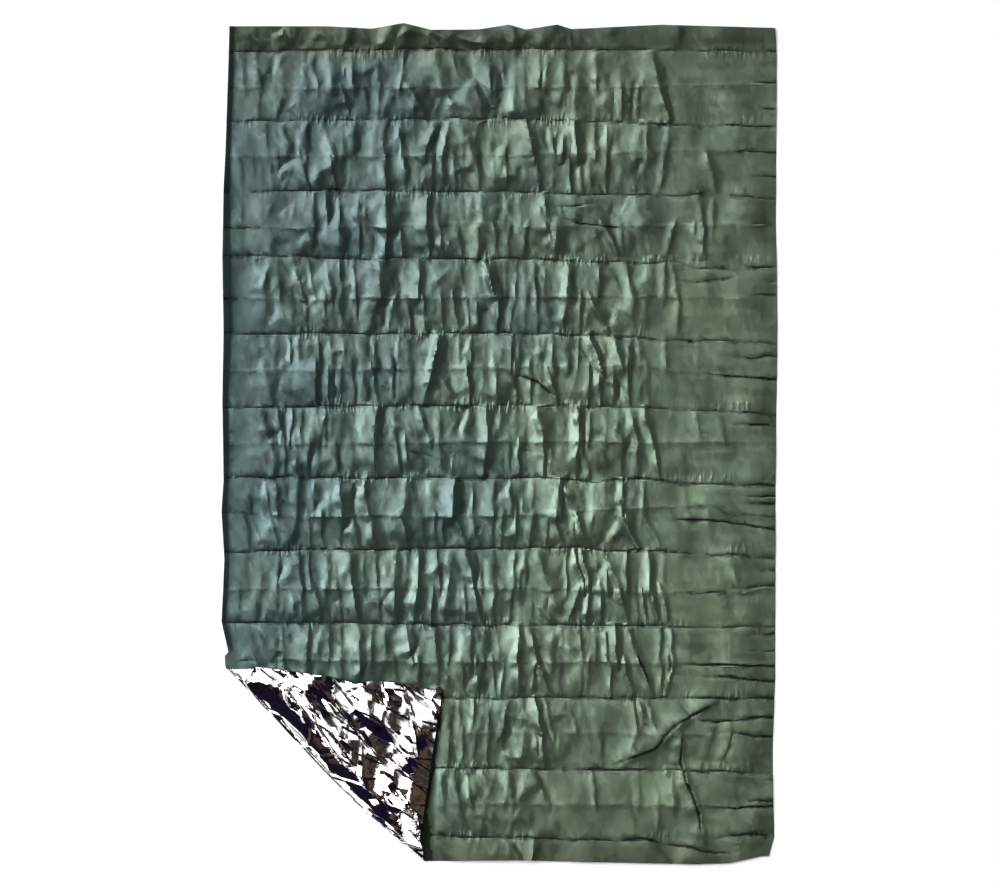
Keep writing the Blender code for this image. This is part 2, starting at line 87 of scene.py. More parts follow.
# ---- The turned-over corner ----
FLAP_TOP_WOBBLE = (     # x, how far the upper edge bulges out
    (-683, 0), (-620, 11), (-540, 9), (-470, 4), (-420, 4), (-359, -9), (-319, 5), (-214, 4),
    (-156, -5), (-146, 0),
)
FLAP_SIDE_WOBBLE = (    # y, how far the right edge bulges out
    (-1041, 0), (-1025, -17), (-942, -4), (-850, 4), (-797, 5), (-715, 6), (-662, 6), (-612, 0),
)
FLAP_FACETS = (         # direction of the slope in degrees, wavelength, height, phase
    (4, 92, 5.0, 0.10), (-20, 143, 4.0, 0.62), (52, 117, 3.4, 0.35), (-62, 171, 3.0, 0.80),
    (82, 214, 2.4, 0.20),
)

# Folds on the turned corner: x and y of one end, x and y of the other, left side, right side, grade.
FLAP_FOLDS: tuple[Row, ...] = (
    (-470, -572, -478, -648, 62, 56, 8), (-282, -625, -268, -728, 55, 48, 7),
    (-226, -715, -232, -815, 34, 62, 8), (-236, -812, -226, -945, 30, 56, 8),
    (-378, -735, -366, -795, 34, 32, 5), (-344, -745, -350, -852, 14, 34, 6),
    (-302, -848, -284, -915, 26, 32, 5), (-322, -900, -300, -955, 12, 30, 5),
    (-268, -765, -262, -892, 34, 16, 5), (-340, -605, -322, -690, 30, 24, 5),
    (-520, -610, -496, -655, 26, 30, 5),
)

# Strips where the turned corner lies level and smooth: x and y of both ends, half width, height in mm.
FLAP_LEVELS: tuple[Row, ...] = (
    (-520, -622, -499, -640, 9, 7), (-499, -640, -452, -698, 11, 9), (-452, -698, -413, -753, 12, 9),
    (-413, -753, -374, -808, 10, 9), (-374, -808, -346, -862, 8, 8), (-395, -618, -384, -640, 24, 8),
    (-655, -574, -540, -590, 14, 1), (-190, -655, -180, -700, 16, 9), (-230, -935, -214, -1005, 22, 0),
    (-258, -790, -252, -850, 6, 11), (-286, -880, -272, -915, 7, 8),
)
# Where the corner's free edge throws its shadow on the sheet, painted into the film's colour: x and y of
# both ends, half width.
EDGE_SHADOWS: tuple[Row, ...] = (
    (-152, -618, -165, -737, 13), (-165, -737, -189, -896, 13), (-189, -896, -202, -965, 16),
    (-200, -965, -206, -1040, 30),
)
# Panels that are tilted as a whole: x and y of the middle, reach in x, reach in y, tilt to the right.
FLAP_PANELS: tuple[Row, ...] = (
    (-446, -607, 26, 26, 0.20), (-249, -675, 26, 40, 0.16), (-172, -765, 30, 62, 0.10),
    (-196, -880, 26, 62, 0.10), (-358, -765, 18, 28, 0.16), (-327, -823, 14, 42, 0.25),
    (-299, -928, 20, 30, 0.16),
)

# ---- Pleats: band by band, from the far end to the near one ----
# y of the band's upper crease, y of its lower one, and its pleats: x at the upper crease, x at the
# lower one, width of the left side, width of the right side, grade.
BANDS: tuple[tuple[int, int, tuple[Row, ...]], ...] = (
    (1047, 980, (
        (-632, -628, 22, 12, 3), (-520, -524, 30, 16, 2.5), (-262, -250, 60, 60, 4),
        (-40, -30, 40, 20, 2.5), (30, 45, 25, 20, 4), (112, 96, 25, 50, 4), (285, 245, 35, 20, 3),
        (448, 440, 40, 18, 3),
    )),
    (980, 890, (
        (-645, -640, 18, 10, 3), (-612, -600, 22, 10, 3.5), (-550, -546, 26, 12, 2.5),
        (-490, -484, 14, 8, 3), (-465, -462, 12, 8, 3), (-432, -420, 40, 28, 6), (-372, -366, 18, 14, 4),
        (-340, -330, 14, 12, 3), (-300, -310, 16, 14, 3), (-240, -250, 12, 14, 5), (-165, -145, 65, 30, 6),
        (-28, -24, 35, 12, 5), (62, 58, 22, 12, 3), (100, 98, 28, 16, 4), (118, 112, 14, 22, 5),
        (160, 158, 28, 16, 4), (238, 240, 22, 28, 6), (310, 306, 30, 30, 2.5), (380, 398, 80, 24, 7),
        (556, 560, 50, 30, 2),
    )),
    (890, 808, (
        (-600, -606, 16, 8, 3), (-560, -556, 14, 8, 3), (-500, -506, 20, 12, 2.5), (-440, -438, 42, 36, 5),
        (-396, -372, 14, 10, 4), (-338, -330, 14, 10, 3), (-300, -306, 26, 12, 4), (-230, -178, 16, 16, 6),
        (-140, -98, 22, 12, 4), (-60, -36, 60, 18, 6), (-12, -4, 16, 9, 3), (34, 30, 12, 9, 3),
        (62, 66, 14, 10, 3), (100, 96, 20, 12, 3), (152, 142, 24, 16, 5), (188, 186, 20, 40, 5),
        (303, 305, 20, 9, 4), (326, 322, 16, 9, 4), (345, 338, 12, 18, 4), (398, 424, 70, 18, 8),
        (497, 500, 20, 10, 2), (562, 562, 35, 12, 2),
    )),
    (808, 718, (
        (-634, -630, 16, 8, 2), (-586, -582, 22, 8, 3), (-540, -536, 14, 8, 2), (-478, -484, 20, 12, 4),
        (-448, -415, 22, 14, 5), (-398, -392, 14, 10, 3), (-360, -366, 18, 12, 3), (-290, -290, 62, 28, 8),
        (-256, -246, 10, 20, 5), (-210, -214, 26, 14, 3), (-160, -190, 45, 22, 7), (-128, -146, 16, 16, 6),
        (-94, -90, 14, 10, 3), (-62, -58, 20, 16, 3), (-20, -24, 16, 10, 3), (66, 84, 62, 22, 8),
        (118, 138, 22, 12, 4), (186, 192, 36, 28, 9), (236, 236, 20, 12, 5), (268, 266, 12, 8, 3),
        (290, 294, 12, 10, 2.5), (366, 366, 34, 34, 7), (424, 412, 16, 10, 4), (475, 480, 22, 10, 2),
    )),
    (718, 628, (
        (-652, -640, 22, 10, 3), (-620, -612, 16, 8, 2.5), (-598, -592, 12, 7, 2), (-556, -552, 16, 8, 3),
        (-500, -475, 26, 10, 4), (-425, -412, 22, 12, 5), (-376, -380, 16, 10, 3), (-288, -286, 60, 24, 8),
        (-243, -236, 14, 18, 5), (-208, -204, 14, 10, 3), (-170, -168, 24, 14, 4), (-148, -138, 16, 16, 5),
        (-118, -112, 16, 14, 4), (-58, -54, 24, 14, 5), (-18, -14, 14, 10, 3), (14, 18, 12, 10, 4),
        (44, 40, 12, 9, 3), (66, 60, 12, 9, 3), (92, 98, 16, 20, 5), (132, 134, 12, 9, 3),
        (172, 176, 22, 12, 6), (200, 204, 12, 12, 4), (224, 226, 10, 8, 3), (266, 264, 18, 14, 4),
        (300, 302, 16, 10, 3), (336, 334, 22, 16, 4), (362, 360, 12, 9, 3), (412, 400, 22, 14, 4),
        (518, 540, 20, 14, 4),
    )),
    (628, 540, (
        (-646, -646, 30, 12, 3), (-592, -592, 40, 8, 1.5), (-464, -466, 50, 12, 5),
        (-436, -430, 16, 12, 5), (-404, -402, 14, 12, 5), (-352, -358, 18, 12, 4), (-334, -336, 10, 8, 3),
        (-286, -286, 48, 58, 9), (-180, -184, 38, 20, 7), (-132, -140, 26, 14, 3), (-96, -92, 16, 12, 3),
        (-47, -44, 50, 42, 6), (16, 14, 20, 16, 3), (48, 52, 16, 10, 3), (112, 118, 42, 26, 7),
        (190, 188, 34, 14, 2.5), (250, 240, 30, 14, 2), (297, 300, 30, 12, 2.5), (372, 376, 40, 16, 2),
        (497, 510, 22, 12, 4), (535, 530, 20, 16, 4),
    )),
    (540, 462, (
        (-646, -646, 24, 12, 2), (-566, -570, 40, 10, 1.5), (-404, -404, 36, 24, 6),
        (-352, -350, 20, 12, 5), (-322, -318, 16, 8, 3), (-286, -286, 34, 20, 8), (-248, -244, 14, 16, 5),
        (-182, -176, 34, 14, 6), (-150, -146, 18, 12, 4), (-108, -96, 20, 14, 4), (-52, -54, 40, 20, 7),
        (-16, -8, 14, 12, 4), (24, 20, 16, 10, 4), (66, 56, 16, 12, 4), (140, 138, 42, 36, 7),
        (224, 232, 26, 10, 2.5), (262, 302, 14, 12, 5), (304, 308, 10, 8, 3), (348, 352, 20, 10, 2),
        (434, 410, 24, 14, 5), (508, 512, 32, 12, 6), (560, 556, 24, 14, 2),
    )),
    (462, 367, (
        (-612, -606, 40, 10, 2), (-560, -548, 20, 10, 3), (-520, -492, 16, 10, 4), (-482, -462, 14, 10, 4),
        (-436, -420, 16, 12, 4), (-404, -396, 12, 12, 4), (-366, -362, 16, 10, 4), (-300, -300, 46, 46, 8),
        (-204, -206, 44, 24, 8), (-130, -126, 30, 20, 1.5), (-40, -14, 16, 28, 9), (16, 12, 14, 9, 3),
        (42, 40, 12, 9, 4), (62, 60, 12, 10, 3), (86, 84, 12, 9, 3), (112, 110, 12, 9, 3),
        (168, 166, 36, 34, 8), (247, 246, 22, 12, 4), (312, 334, 28, 12, 4), (366, 364, 22, 12, 3),
        (415, 412, 24, 12, 4), (430, 442, 18, 10, 4), (520, 520, 34, 14, 2), (590, 600, 40, 14, 2),
    )),
    (367, 275, (
        (-588, -584, 50, 12, 2), (-552, -556, 14, 10, 3), (-520, -516, 14, 8, 3), (-488, -480, 14, 10, 4),
        (-440, -436, 18, 12, 4), (-400, -396, 14, 12, 4), (-362, -356, 16, 10, 4), (-304, -330, 44, 16, 6),
        (-262, -284, 14, 20, 5), (-232, -222, 18, 12, 5), (-194, -188, 24, 22, 7), (-148, -140, 14, 10, 4),
        (-118, -104, 12, 10, 4), (-86, -76, 12, 10, 4), (-62, -44, 12, 10, 3), (-8, -8, 24, 12, 8),
        (36, 24, 14, 10, 4), (62, 60, 12, 9, 3), (90, 94, 14, 12, 4), (112, 124, 14, 10, 3),
        (164, 160, 34, 14, 6), (200, 196, 16, 12, 5), (226, 272, 14, 14, 6), (334, 330, 24, 14, 4),
        (362, 362, 14, 10, 3), (446, 444, 28, 12, 4), (520, 516, 40, 16, 2),
    )),
    (275, 190, (
        (-612, -608, 40, 8, 1.5), (-560, -566, 20, 12, 3), (-528, -520, 14, 12, 4),
        (-505, -500, 14, 10, 4), (-478, -486, 12, 9, 3), (-455, -448, 18, 12, 4), (-424, -420, 14, 10, 3),
        (-392, -388, 16, 10, 3), (-352, -348, 22, 12, 3), (-316, -310, 16, 12, 4), (-255, -256, 14, 10, 4),
        (-226, -230, 14, 10, 3), (-152, -168, 42, 34, 9), (-104, -102, 20, 10, 4), (-70, -74, 14, 10, 4),
        (-40, -36, 12, 8, 2), (30, 24, 22, 14, 5), (52, 46, 12, 9, 3), (98, 92, 14, 9, 3),
        (128, 134, 24, 16, 6), (172, 168, 20, 12, 4), (197, 194, 10, 8, 4), (224, 254, 26, 14, 8),
        (282, 306, 30, 20, 7), (346, 352, 20, 10, 2.5), (412, 416, 16, 10, 3), (497, 494, 16, 10, 2.5),
    )),
    (190, 95, (
        (-590, -568, 50, 26, 5), (-462, -462, 80, 16, 8), (-428, -432, 20, 10, 4), (-398, -402, 14, 12, 4),
        (-370, -364, 16, 10, 4), (-345, -346, 14, 8, 3), (-318, -304, 18, 12, 5), (-268, -272, 14, 10, 4),
        (-250, -252, 10, 9, 3), (-222, -228, 14, 10, 3), (-170, -190, 42, 22, 8), (-142, -100, 22, 10, 3),
        (-82, -80, 44, 14, 8), (-42, -44, 12, 10, 3), (-12, -8, 14, 10, 4), (36, 42, 22, 10, 5),
        (74, 76, 20, 12, 5), (100, 96, 12, 9, 3), (122, 144, 14, 12, 5), (222, 216, 30, 12, 5),
        (248, 252, 18, 14, 5), (282, 278, 16, 20, 5), (318, 326, 22, 12, 6), (366, 370, 16, 10, 3),
        (424, 430, 20, 10, 2), (512, 512, 22, 12, 2),
    )),
    (95, 5, (
        (-602, -574, 50, 20, 6), (-556, -548, 12, 14, 4), (-520, -524, 14, 9, 4), (-494, -498, 14, 10, 4),
        (-466, -470, 14, 10, 3), (-436, -438, 16, 12, 4), (-398, -404, 20, 10, 3), (-306, -318, 56, 26, 8),
        (-262, -266, 18, 12, 3), (-206, -178, 14, 26, 6), (-152, -150, 30, 12, 4), (-96, -100, 30, 16, 2),
        (-36, -30, 26, 28, 8), (38, 34, 16, 10, 3), (92, 106, 30, 44, 8), (192, 196, 26, 22, 9),
        (228, 222, 12, 10, 4), (262, 264, 12, 8, 3), (294, 292, 10, 8, 3), (322, 346, 22, 14, 6),
        (356, 380, 20, 16, 6), (436, 430, 30, 12, 2), (484, 500, 14, 8, 3), (540, 562, 18, 10, 3),
    )),
    (5, -85, (
        (-570, -566, 60, 20, 6), (-540, -536, 16, 10, 4), (-510, -508, 16, 12, 4), (-478, -482, 14, 10, 4),
        (-452, -456, 14, 10, 3), (-410, -404, 18, 12, 4), (-372, -370, 14, 10, 3), (-314, -312, 46, 28, 8),
        (-262, -248, 16, 10, 5), (-236, -228, 12, 10, 4), (-204, -196, 16, 12, 3), (-152, -144, 26, 24, 5),
        (-96, -100, 24, 14, 2), (-34, -42, 28, 28, 8), (22, 20, 16, 10, 4), (46, 50, 12, 9, 4),
        (106, 112, 28, 12, 7), (128, 124, 12, 9, 3), (194, 190, 22, 14, 7), (200, 222, 12, 14, 5),
        (302, 300, 22, 14, 5), (346, 342, 24, 26, 6), (380, 398, 20, 14, 6), (452, 462, 30, 14, 2.5),
        (560, 556, 40, 20, 2),
    )),
    (-85, -181, (
        (-622, -626, 20, 10, 3), (-586, -580, 18, 10, 4), (-560, -556, 14, 10, 4), (-506, -508, 36, 26, 6),
        (-462, -470, 18, 12, 4), (-430, -426, 14, 10, 3), (-400, -396, 16, 10, 4), (-374, -370, 12, 8, 3),
        (-338, -330, 30, 56, 8), (-286, -290, 14, 10, 3), (-234, -246, 26, 38, 7), (-176, -180, 24, 14, 2),
        (-110, -118, 46, 24, 9), (-72, -66, 12, 12, 4), (-14, -18, 32, 16, 6), (24, 28, 14, 9, 4),
        (52, 56, 12, 9, 3), (80, 84, 14, 10, 3), (148, 140, 44, 22, 9), (156, 190, 10, 18, 5),
        (236, 232, 18, 9, 3), (262, 260, 12, 8, 2.5), (304, 306, 20, 14, 8), (358, 356, 14, 18, 5),
        (462, 468, 12, 8, 2.5), (510, 520, 30, 12, 1.5),
    )),
    (-181, -265, (
        (-636, -628, 50, 12, 4), (-572, -556, 42, 14, 5), (-506, -522, 34, 14, 5), (-480, -474, 14, 10, 4),
        (-448, -446, 26, 18, 5), (-404, -400, 24, 14, 4), (-366, -352, 30, 12, 4), (-328, -314, 22, 50, 7),
        (-250, -226, 30, 20, 7), (-196, -190, 14, 10, 3), (-166, -160, 12, 12, 4), (-142, -144, 18, 12, 5),
        (-112, -82, 24, 16, 7), (-72, -52, 14, 12, 4), (-20, -20, 26, 14, 5), (8, 2, 16, 10, 4),
        (38, 34, 16, 10, 4), (84, 72, 18, 16, 5), (118, 112, 18, 10, 5), (134, 160, 20, 12, 6),
        (182, 184, 12, 9, 3), (192, 222, 14, 16, 7), (258, 262, 24, 10, 2), (306, 346, 22, 14, 8),
        (362, 404, 16, 14, 5), (520, 534, 14, 10, 3),
    )),
    (-265, -361, (
        (-640, -636, 30, 10, 2), (-600, -596, 20, 10, 2.5), (-552, -556, 16, 10, 4),
        (-506, -500, 16, 14, 4), (-478, -470, 14, 10, 4), (-432, -436, 22, 16, 5), (-376, -372, 30, 24, 6),
        (-344, -338, 14, 10, 3), (-306, -312, 16, 10, 4), (-262, -264, 24, 28, 7), (-232, -238, 10, 10, 3),
        (-206, -206, 22, 20, 7), (-158, -152, 26, 10, 5), (-132, -128, 14, 30, 5), (-88, -66, 22, 16, 6),
        (-48, -46, 14, 10, 4), (-14, -18, 20, 12, 4), (36, 34, 18, 12, 5), (66, 60, 12, 9, 3),
        (92, 122, 34, 40, 7), (126, 130, 8, 8, 3), (164, 168, 12, 9, 4), (186, 210, 18, 10, 7),
        (204, 222, 12, 12, 7), (240, 238, 10, 8, 3), (268, 268, 14, 10, 4), (262, 298, 12, 16, 6),
        (314, 316, 16, 14, 5), (372, 374, 28, 24, 8), (410, 408, 14, 10, 3), (572, 596, 18, 12, 3),
    )),
    (-361, -450, (
        (-652, -650, 26, 10, 3), (-582, -584, 40, 10, 2), (-496, -494, 50, 16, 6), (-462, -446, 16, 12, 4),
        (-404, -398, 22, 14, 5), (-370, -352, 34, 16, 7), (-306, -302, 26, 12, 4), (-262, -264, 26, 26, 7),
        (-204, -218, 20, 26, 7), (-168, -176, 14, 10, 5), (-132, -142, 20, 30, 6), (-100, -104, 12, 9, 3),
        (-66, -48, 20, 14, 7), (-90, -84, 14, 10, 4), (-16, -20, 16, 12, 4), (32, 20, 18, 10, 5),
        (46, 44, 12, 9, 3), (78, 82, 16, 10, 3), (122, 124, 34, 40, 6), (200, 166, 18, 12, 6),
        (224, 214, 12, 10, 5), (250, 250, 16, 14, 6), (298, 318, 14, 16, 6), (338, 344, 16, 8, 3),
        (354, 368, 12, 9, 5), (380, 392, 14, 18, 7), (402, 422, 12, 14, 5), (560, 566, 30, 14, 2),
    )),
    (-450, -545, (
        (-640, -610, 26, 20, 4), (-600, -570, 18, 18, 4), (-548, -540, 14, 12, 4), (-480, -484, 40, 14, 6),
        (-428, -430, 24, 12, 5), (-400, -396, 14, 10, 3), (-355, -352, 32, 20, 6), (-318, -322, 16, 10, 4),
        (-286, -290, 14, 10, 3), (-236, -222, 28, 16, 6), (-204, -200, 12, 10, 3), (-160, -160, 26, 14, 6),
        (-126, -130, 14, 10, 4), (-72, -72, 30, 12, 5), (-44, -42, 14, 10, 4), (-4, -2, 16, 10, 3),
        (50, 42, 34, 16, 7), (70, 92, 16, 14, 6), (134, 132, 16, 10, 3), (172, 170, 14, 9, 2.5),
        (200, 206, 16, 9, 4), (236, 238, 12, 9, 3), (290, 290, 36, 20, 8), (314, 346, 14, 14, 6),
        (402, 398, 18, 10, 4), (428, 430, 16, 12, 5), (560, 564, 34, 14, 2),
    )),
    (-545, -632, (
        (-640, -636, 24, 12, 3), (-560, -566, 30, 12, 3), (-480, -476, 34, 14, 5), (-400, -404, 30, 14, 4),
        (-352, -350, 30, 18, 6), (-262, -258, 26, 14, 4), (-206, -202, 28, 14, 6), (-156, -160, 20, 12, 5),
        (-96, -92, 24, 12, 5), (-60, -52, 14, 10, 4), (-20, -14, 16, 10, 4), (12, 2, 14, 10, 4),
        (46, 42, 22, 12, 6), (88, 78, 16, 12, 5), (94, 126, 14, 14, 6), (146, 148, 14, 10, 3),
        (200, 204, 14, 9, 3), (222, 212, 10, 8, 3), (274, 276, 18, 12, 6), (312, 332, 18, 12, 6),
        (348, 384, 14, 14, 6), (402, 404, 14, 10, 4), (430, 412, 12, 12, 5), (510, 500, 24, 12, 1.5),
    )),
    (-632, -722, (
        (-104, -100, 26, 12, 4), (-62, -70, 14, 10, 5), (-24, -30, 14, 10, 4), (26, 2, 14, 12, 5),
        (56, 52, 16, 10, 3), (88, 104, 26, 14, 8), (108, 132, 12, 9, 4), (166, 192, 12, 8, 3),
        (232, 240, 12, 8, 2), (332, 344, 20, 12, 5), (362, 392, 14, 16, 5), (560, 580, 26, 14, 3),
        (612, 606, 20, 10, 2),
    )),
    (-722, -810, (
        (-128, -132, 22, 12, 4), (-92, -96, 16, 10, 4), (-64, -68, 16, 10, 4), (-28, -34, 16, 10, 4),
        (6, 4, 14, 10, 3), (62, 48, 22, 14, 4), (104, 112, 22, 14, 7), (250, 254, 36, 12, 4),
        (345, 310, 20, 12, 4), (530, 500, 24, 12, 3),
    )),
    (-810, -899, (
        (-150, -142, 20, 12, 4), (-120, -104, 16, 12, 4), (-86, -70, 20, 10, 4), (-46, -50, 14, 10, 3),
        (24, 12, 24, 12, 4), (80, 120, 50, 14, 4), (118, 112, 12, 8, 2), (200, 204, 30, 10, 2),
        (230, 240, 14, 10, 4), (340, 346, 18, 12, 3), (430, 436, 34, 16, 4), (590, 584, 20, 12, 2),
    )),
    (-899, -980, (
        (-100, -96, 26, 16, 3), (-40, -46, 26, 16, 4), (30, 24, 18, 12, 3), (140, 142, 14, 8, 2),
        (186, 188, 20, 10, 2), (322, 346, 22, 12, 3), (396, 394, 16, 10, 3), (640, 626, 20, 14, 2.5),
    )),
    (-980, -1047, (
        (-90, -86, 30, 16, 2), (30, 50, 24, 12, 3), (85, 78, 26, 20, 6), (280, 286, 24, 12, 2),
        (360, 420, 30, 16, 3), (600, 596, 40, 20, 2),
    )),
)

# Folds that run across the bands: x and y of one end, x and y of the other, left side, right side, grade.
CROSS_FOLDS: tuple[Row, ...] = (
    (540, -648, 472, -680, 60, 16, 6), (472, -680, 430, -720, 70, 26, 7),
    (430, -720, 395, -756, 70, 24, 7), (395, -756, 310, -796, 60, 16, 6),
    (452, -715, 450, -800, 44, 16, 6), (450, -800, 475, -870, 44, 20, 6),
    (475, -870, 500, -930, 44, 18, 6), (500, -930, 515, -1005, 40, 14, 5),
    (585, -700, 546, -815, 34, 18, 4), (85, -990, 78, -1040, 26, 18, 6),
)
# Short steep folds that catch the light: x and y of one end, x and y of the other, both sides, grade.
BRIGHT_FOLDS: tuple[Row, ...] = (
    (-462, 925, -452, 868, 14, 26, 6), (158, 772, 154, 700, 16, 24, 7), (92, 602, 112, 560, 13, 22, 6),
    (118, 552, 134, 478, 15, 20, 7), (-40, 452, -18, 380, 14, 20, 7), (488, 555, 480, 505, 11, 20, 5),
    (222, 262, 238, 205, 13, 22, 6), (-342, 92, -330, 30, 15, 26, 6), (-42, 44, -34, -18, 12, 22, 6),
    (92, 40, 100, -22, 13, 20, 6), (176, 62, 184, -40, 13, 18, 6), (-138, -112, -128, -172, 13, 24, 6),
    (128, -96, 140, -160, 14, 22, 7), (306, -140, 330, -262, 16, 20, 7), (262, -470, 272, -560, 15, 24, 7),
    (346, -642, 362, -700, 16, 24, 7), (82, -705, 96, -792, 14, 24, 6), (414, -808, 424, -838, 11, 16, 5),
)
# Where the sheet rises under the free edge of the turned corner and slopes down beside it.
CORNER_SLOPES: tuple[Row, ...] = (
    (-154, -610, -160, -720, 36, 24, 6), (-160, -705, -180, -812, 36, 24, 6),
    (-179, -795, -193, -912, 36, 28, 6), (-191, -895, -218, -1030, 40, 46, 7),
)
# Height in millimetres of a fold of each grade.
GRADE_HEIGHTS = {
    1.5: 0.40, 2: 0.60, 2.5: 0.90, 3: 1.4, 3.5: 1.9, 4: 2.4, 5: 3.2, 6: 4.2, 7: 5.5, 8: 7.0, 9: 9.0,
}

# ---- Creases: points along the line (x, y), half width, height (negative: pressed into the sheet) ---
Crease = tuple[tuple[Point, ...], float, float]
PACKET_CREASES: tuple[Crease, ...] = (
    (((-672, 980), (-200, 986), (240, 984), (690, 981)), 4, -1.3),
    (((-680, 806), (-600, 808), (-400, 808), (0, 812), (370, 800), (600, 792), (690, 790)), 4, -1.3),
    (((-690, 628), (-460, 632), (0, 630), (350, 620), (420, 618), (550, 625), (600, 615),
      (690, 612)), 4, -1.4),
    (((-690, 470), (-560, 468), (-400, 462), (0, 463), (380, 450), (440, 455), (500, 438), (625, 440),
      (690, 441)), 4, -1.4),
    (((-690, 275), (-560, 275), (0, 276), (285, 268), (400, 260), (550, 258), (690, 248)), 4, -1.4),
    (((-690, 90), (-600, 91), (0, 96), (180, 95), (340, 90), (540, 82), (690, 70)), 4, -1.4),
    (((-694, -85), (110, -85), (250, -95), (340, -87), (450, -100), (690, -104)), 4, -1.5),
    (((-690, -272), (-540, -265), (0, -262), (200, -260), (300, -270), (360, -265), (540, -278),
      (610, -280), (690, -288)), 4, -1.5),
    (((-696, -447), (-550, -447), (0, -455), (220, -452), (420, -458), (690, -460)), 4, -1.4),
    (((-400, -632), (-140, -636), (0, -636), (280, -635), (370, -638), (690, -634)), 4, -1.4),
    (((-230, -812), (0, -812), (100, -815), (400, -815), (690, -824)), 4, -1.4),
    (((-230, -972), (-90, -985), (50, -985), (250, -990), (350, -992), (440, -1000), (550, -1022)),
     4, -1.5),
)
HALF_CREASES: tuple[Crease, ...] = (
    (((-680, 889), (-510, 889), (0, 890), (400, 892), (690, 903)), 5, 0.7),
    (((-688, 718), (-510, 718), (0, 720), (560, 735), (690, 728)), 5, 0.7),
    (((-690, 540), (-440, 538), (0, 552), (60, 543), (120, 543), (260, 543), (690, 548)), 5, 0.7),
    (((-690, 362), (-490, 362), (0, 366), (600, 366), (690, 373)), 5, 0.7),
    (((-690, 185), (-610, 182), (0, 190), (350, 195), (430, 182), (690, 164)), 5, 0.7),
    (((-690, 0), (-560, 0), (-400, -2), (0, 6), (690, 2)), 5, 0.7),
    (((-690, -172), (-560, -180), (0, -181), (430, -158), (540, -158), (580, -178), (690, -180)), 5, 0.8),
    (((-690, -365), (-540, -362), (0, -361), (430, -372), (610, -372), (690, -352)), 5, 0.7),
    (((-690, -540), (-560, -540), (-200, -545), (220, -545), (690, -553)), 5, 0.7),
    (((-100, -722), (110, -722), (340, -727), (690, -730)), 5, 0.6),
    (((-150, -900), (300, -902), (430, -905), (690, -905)), 5, 0.6),
)
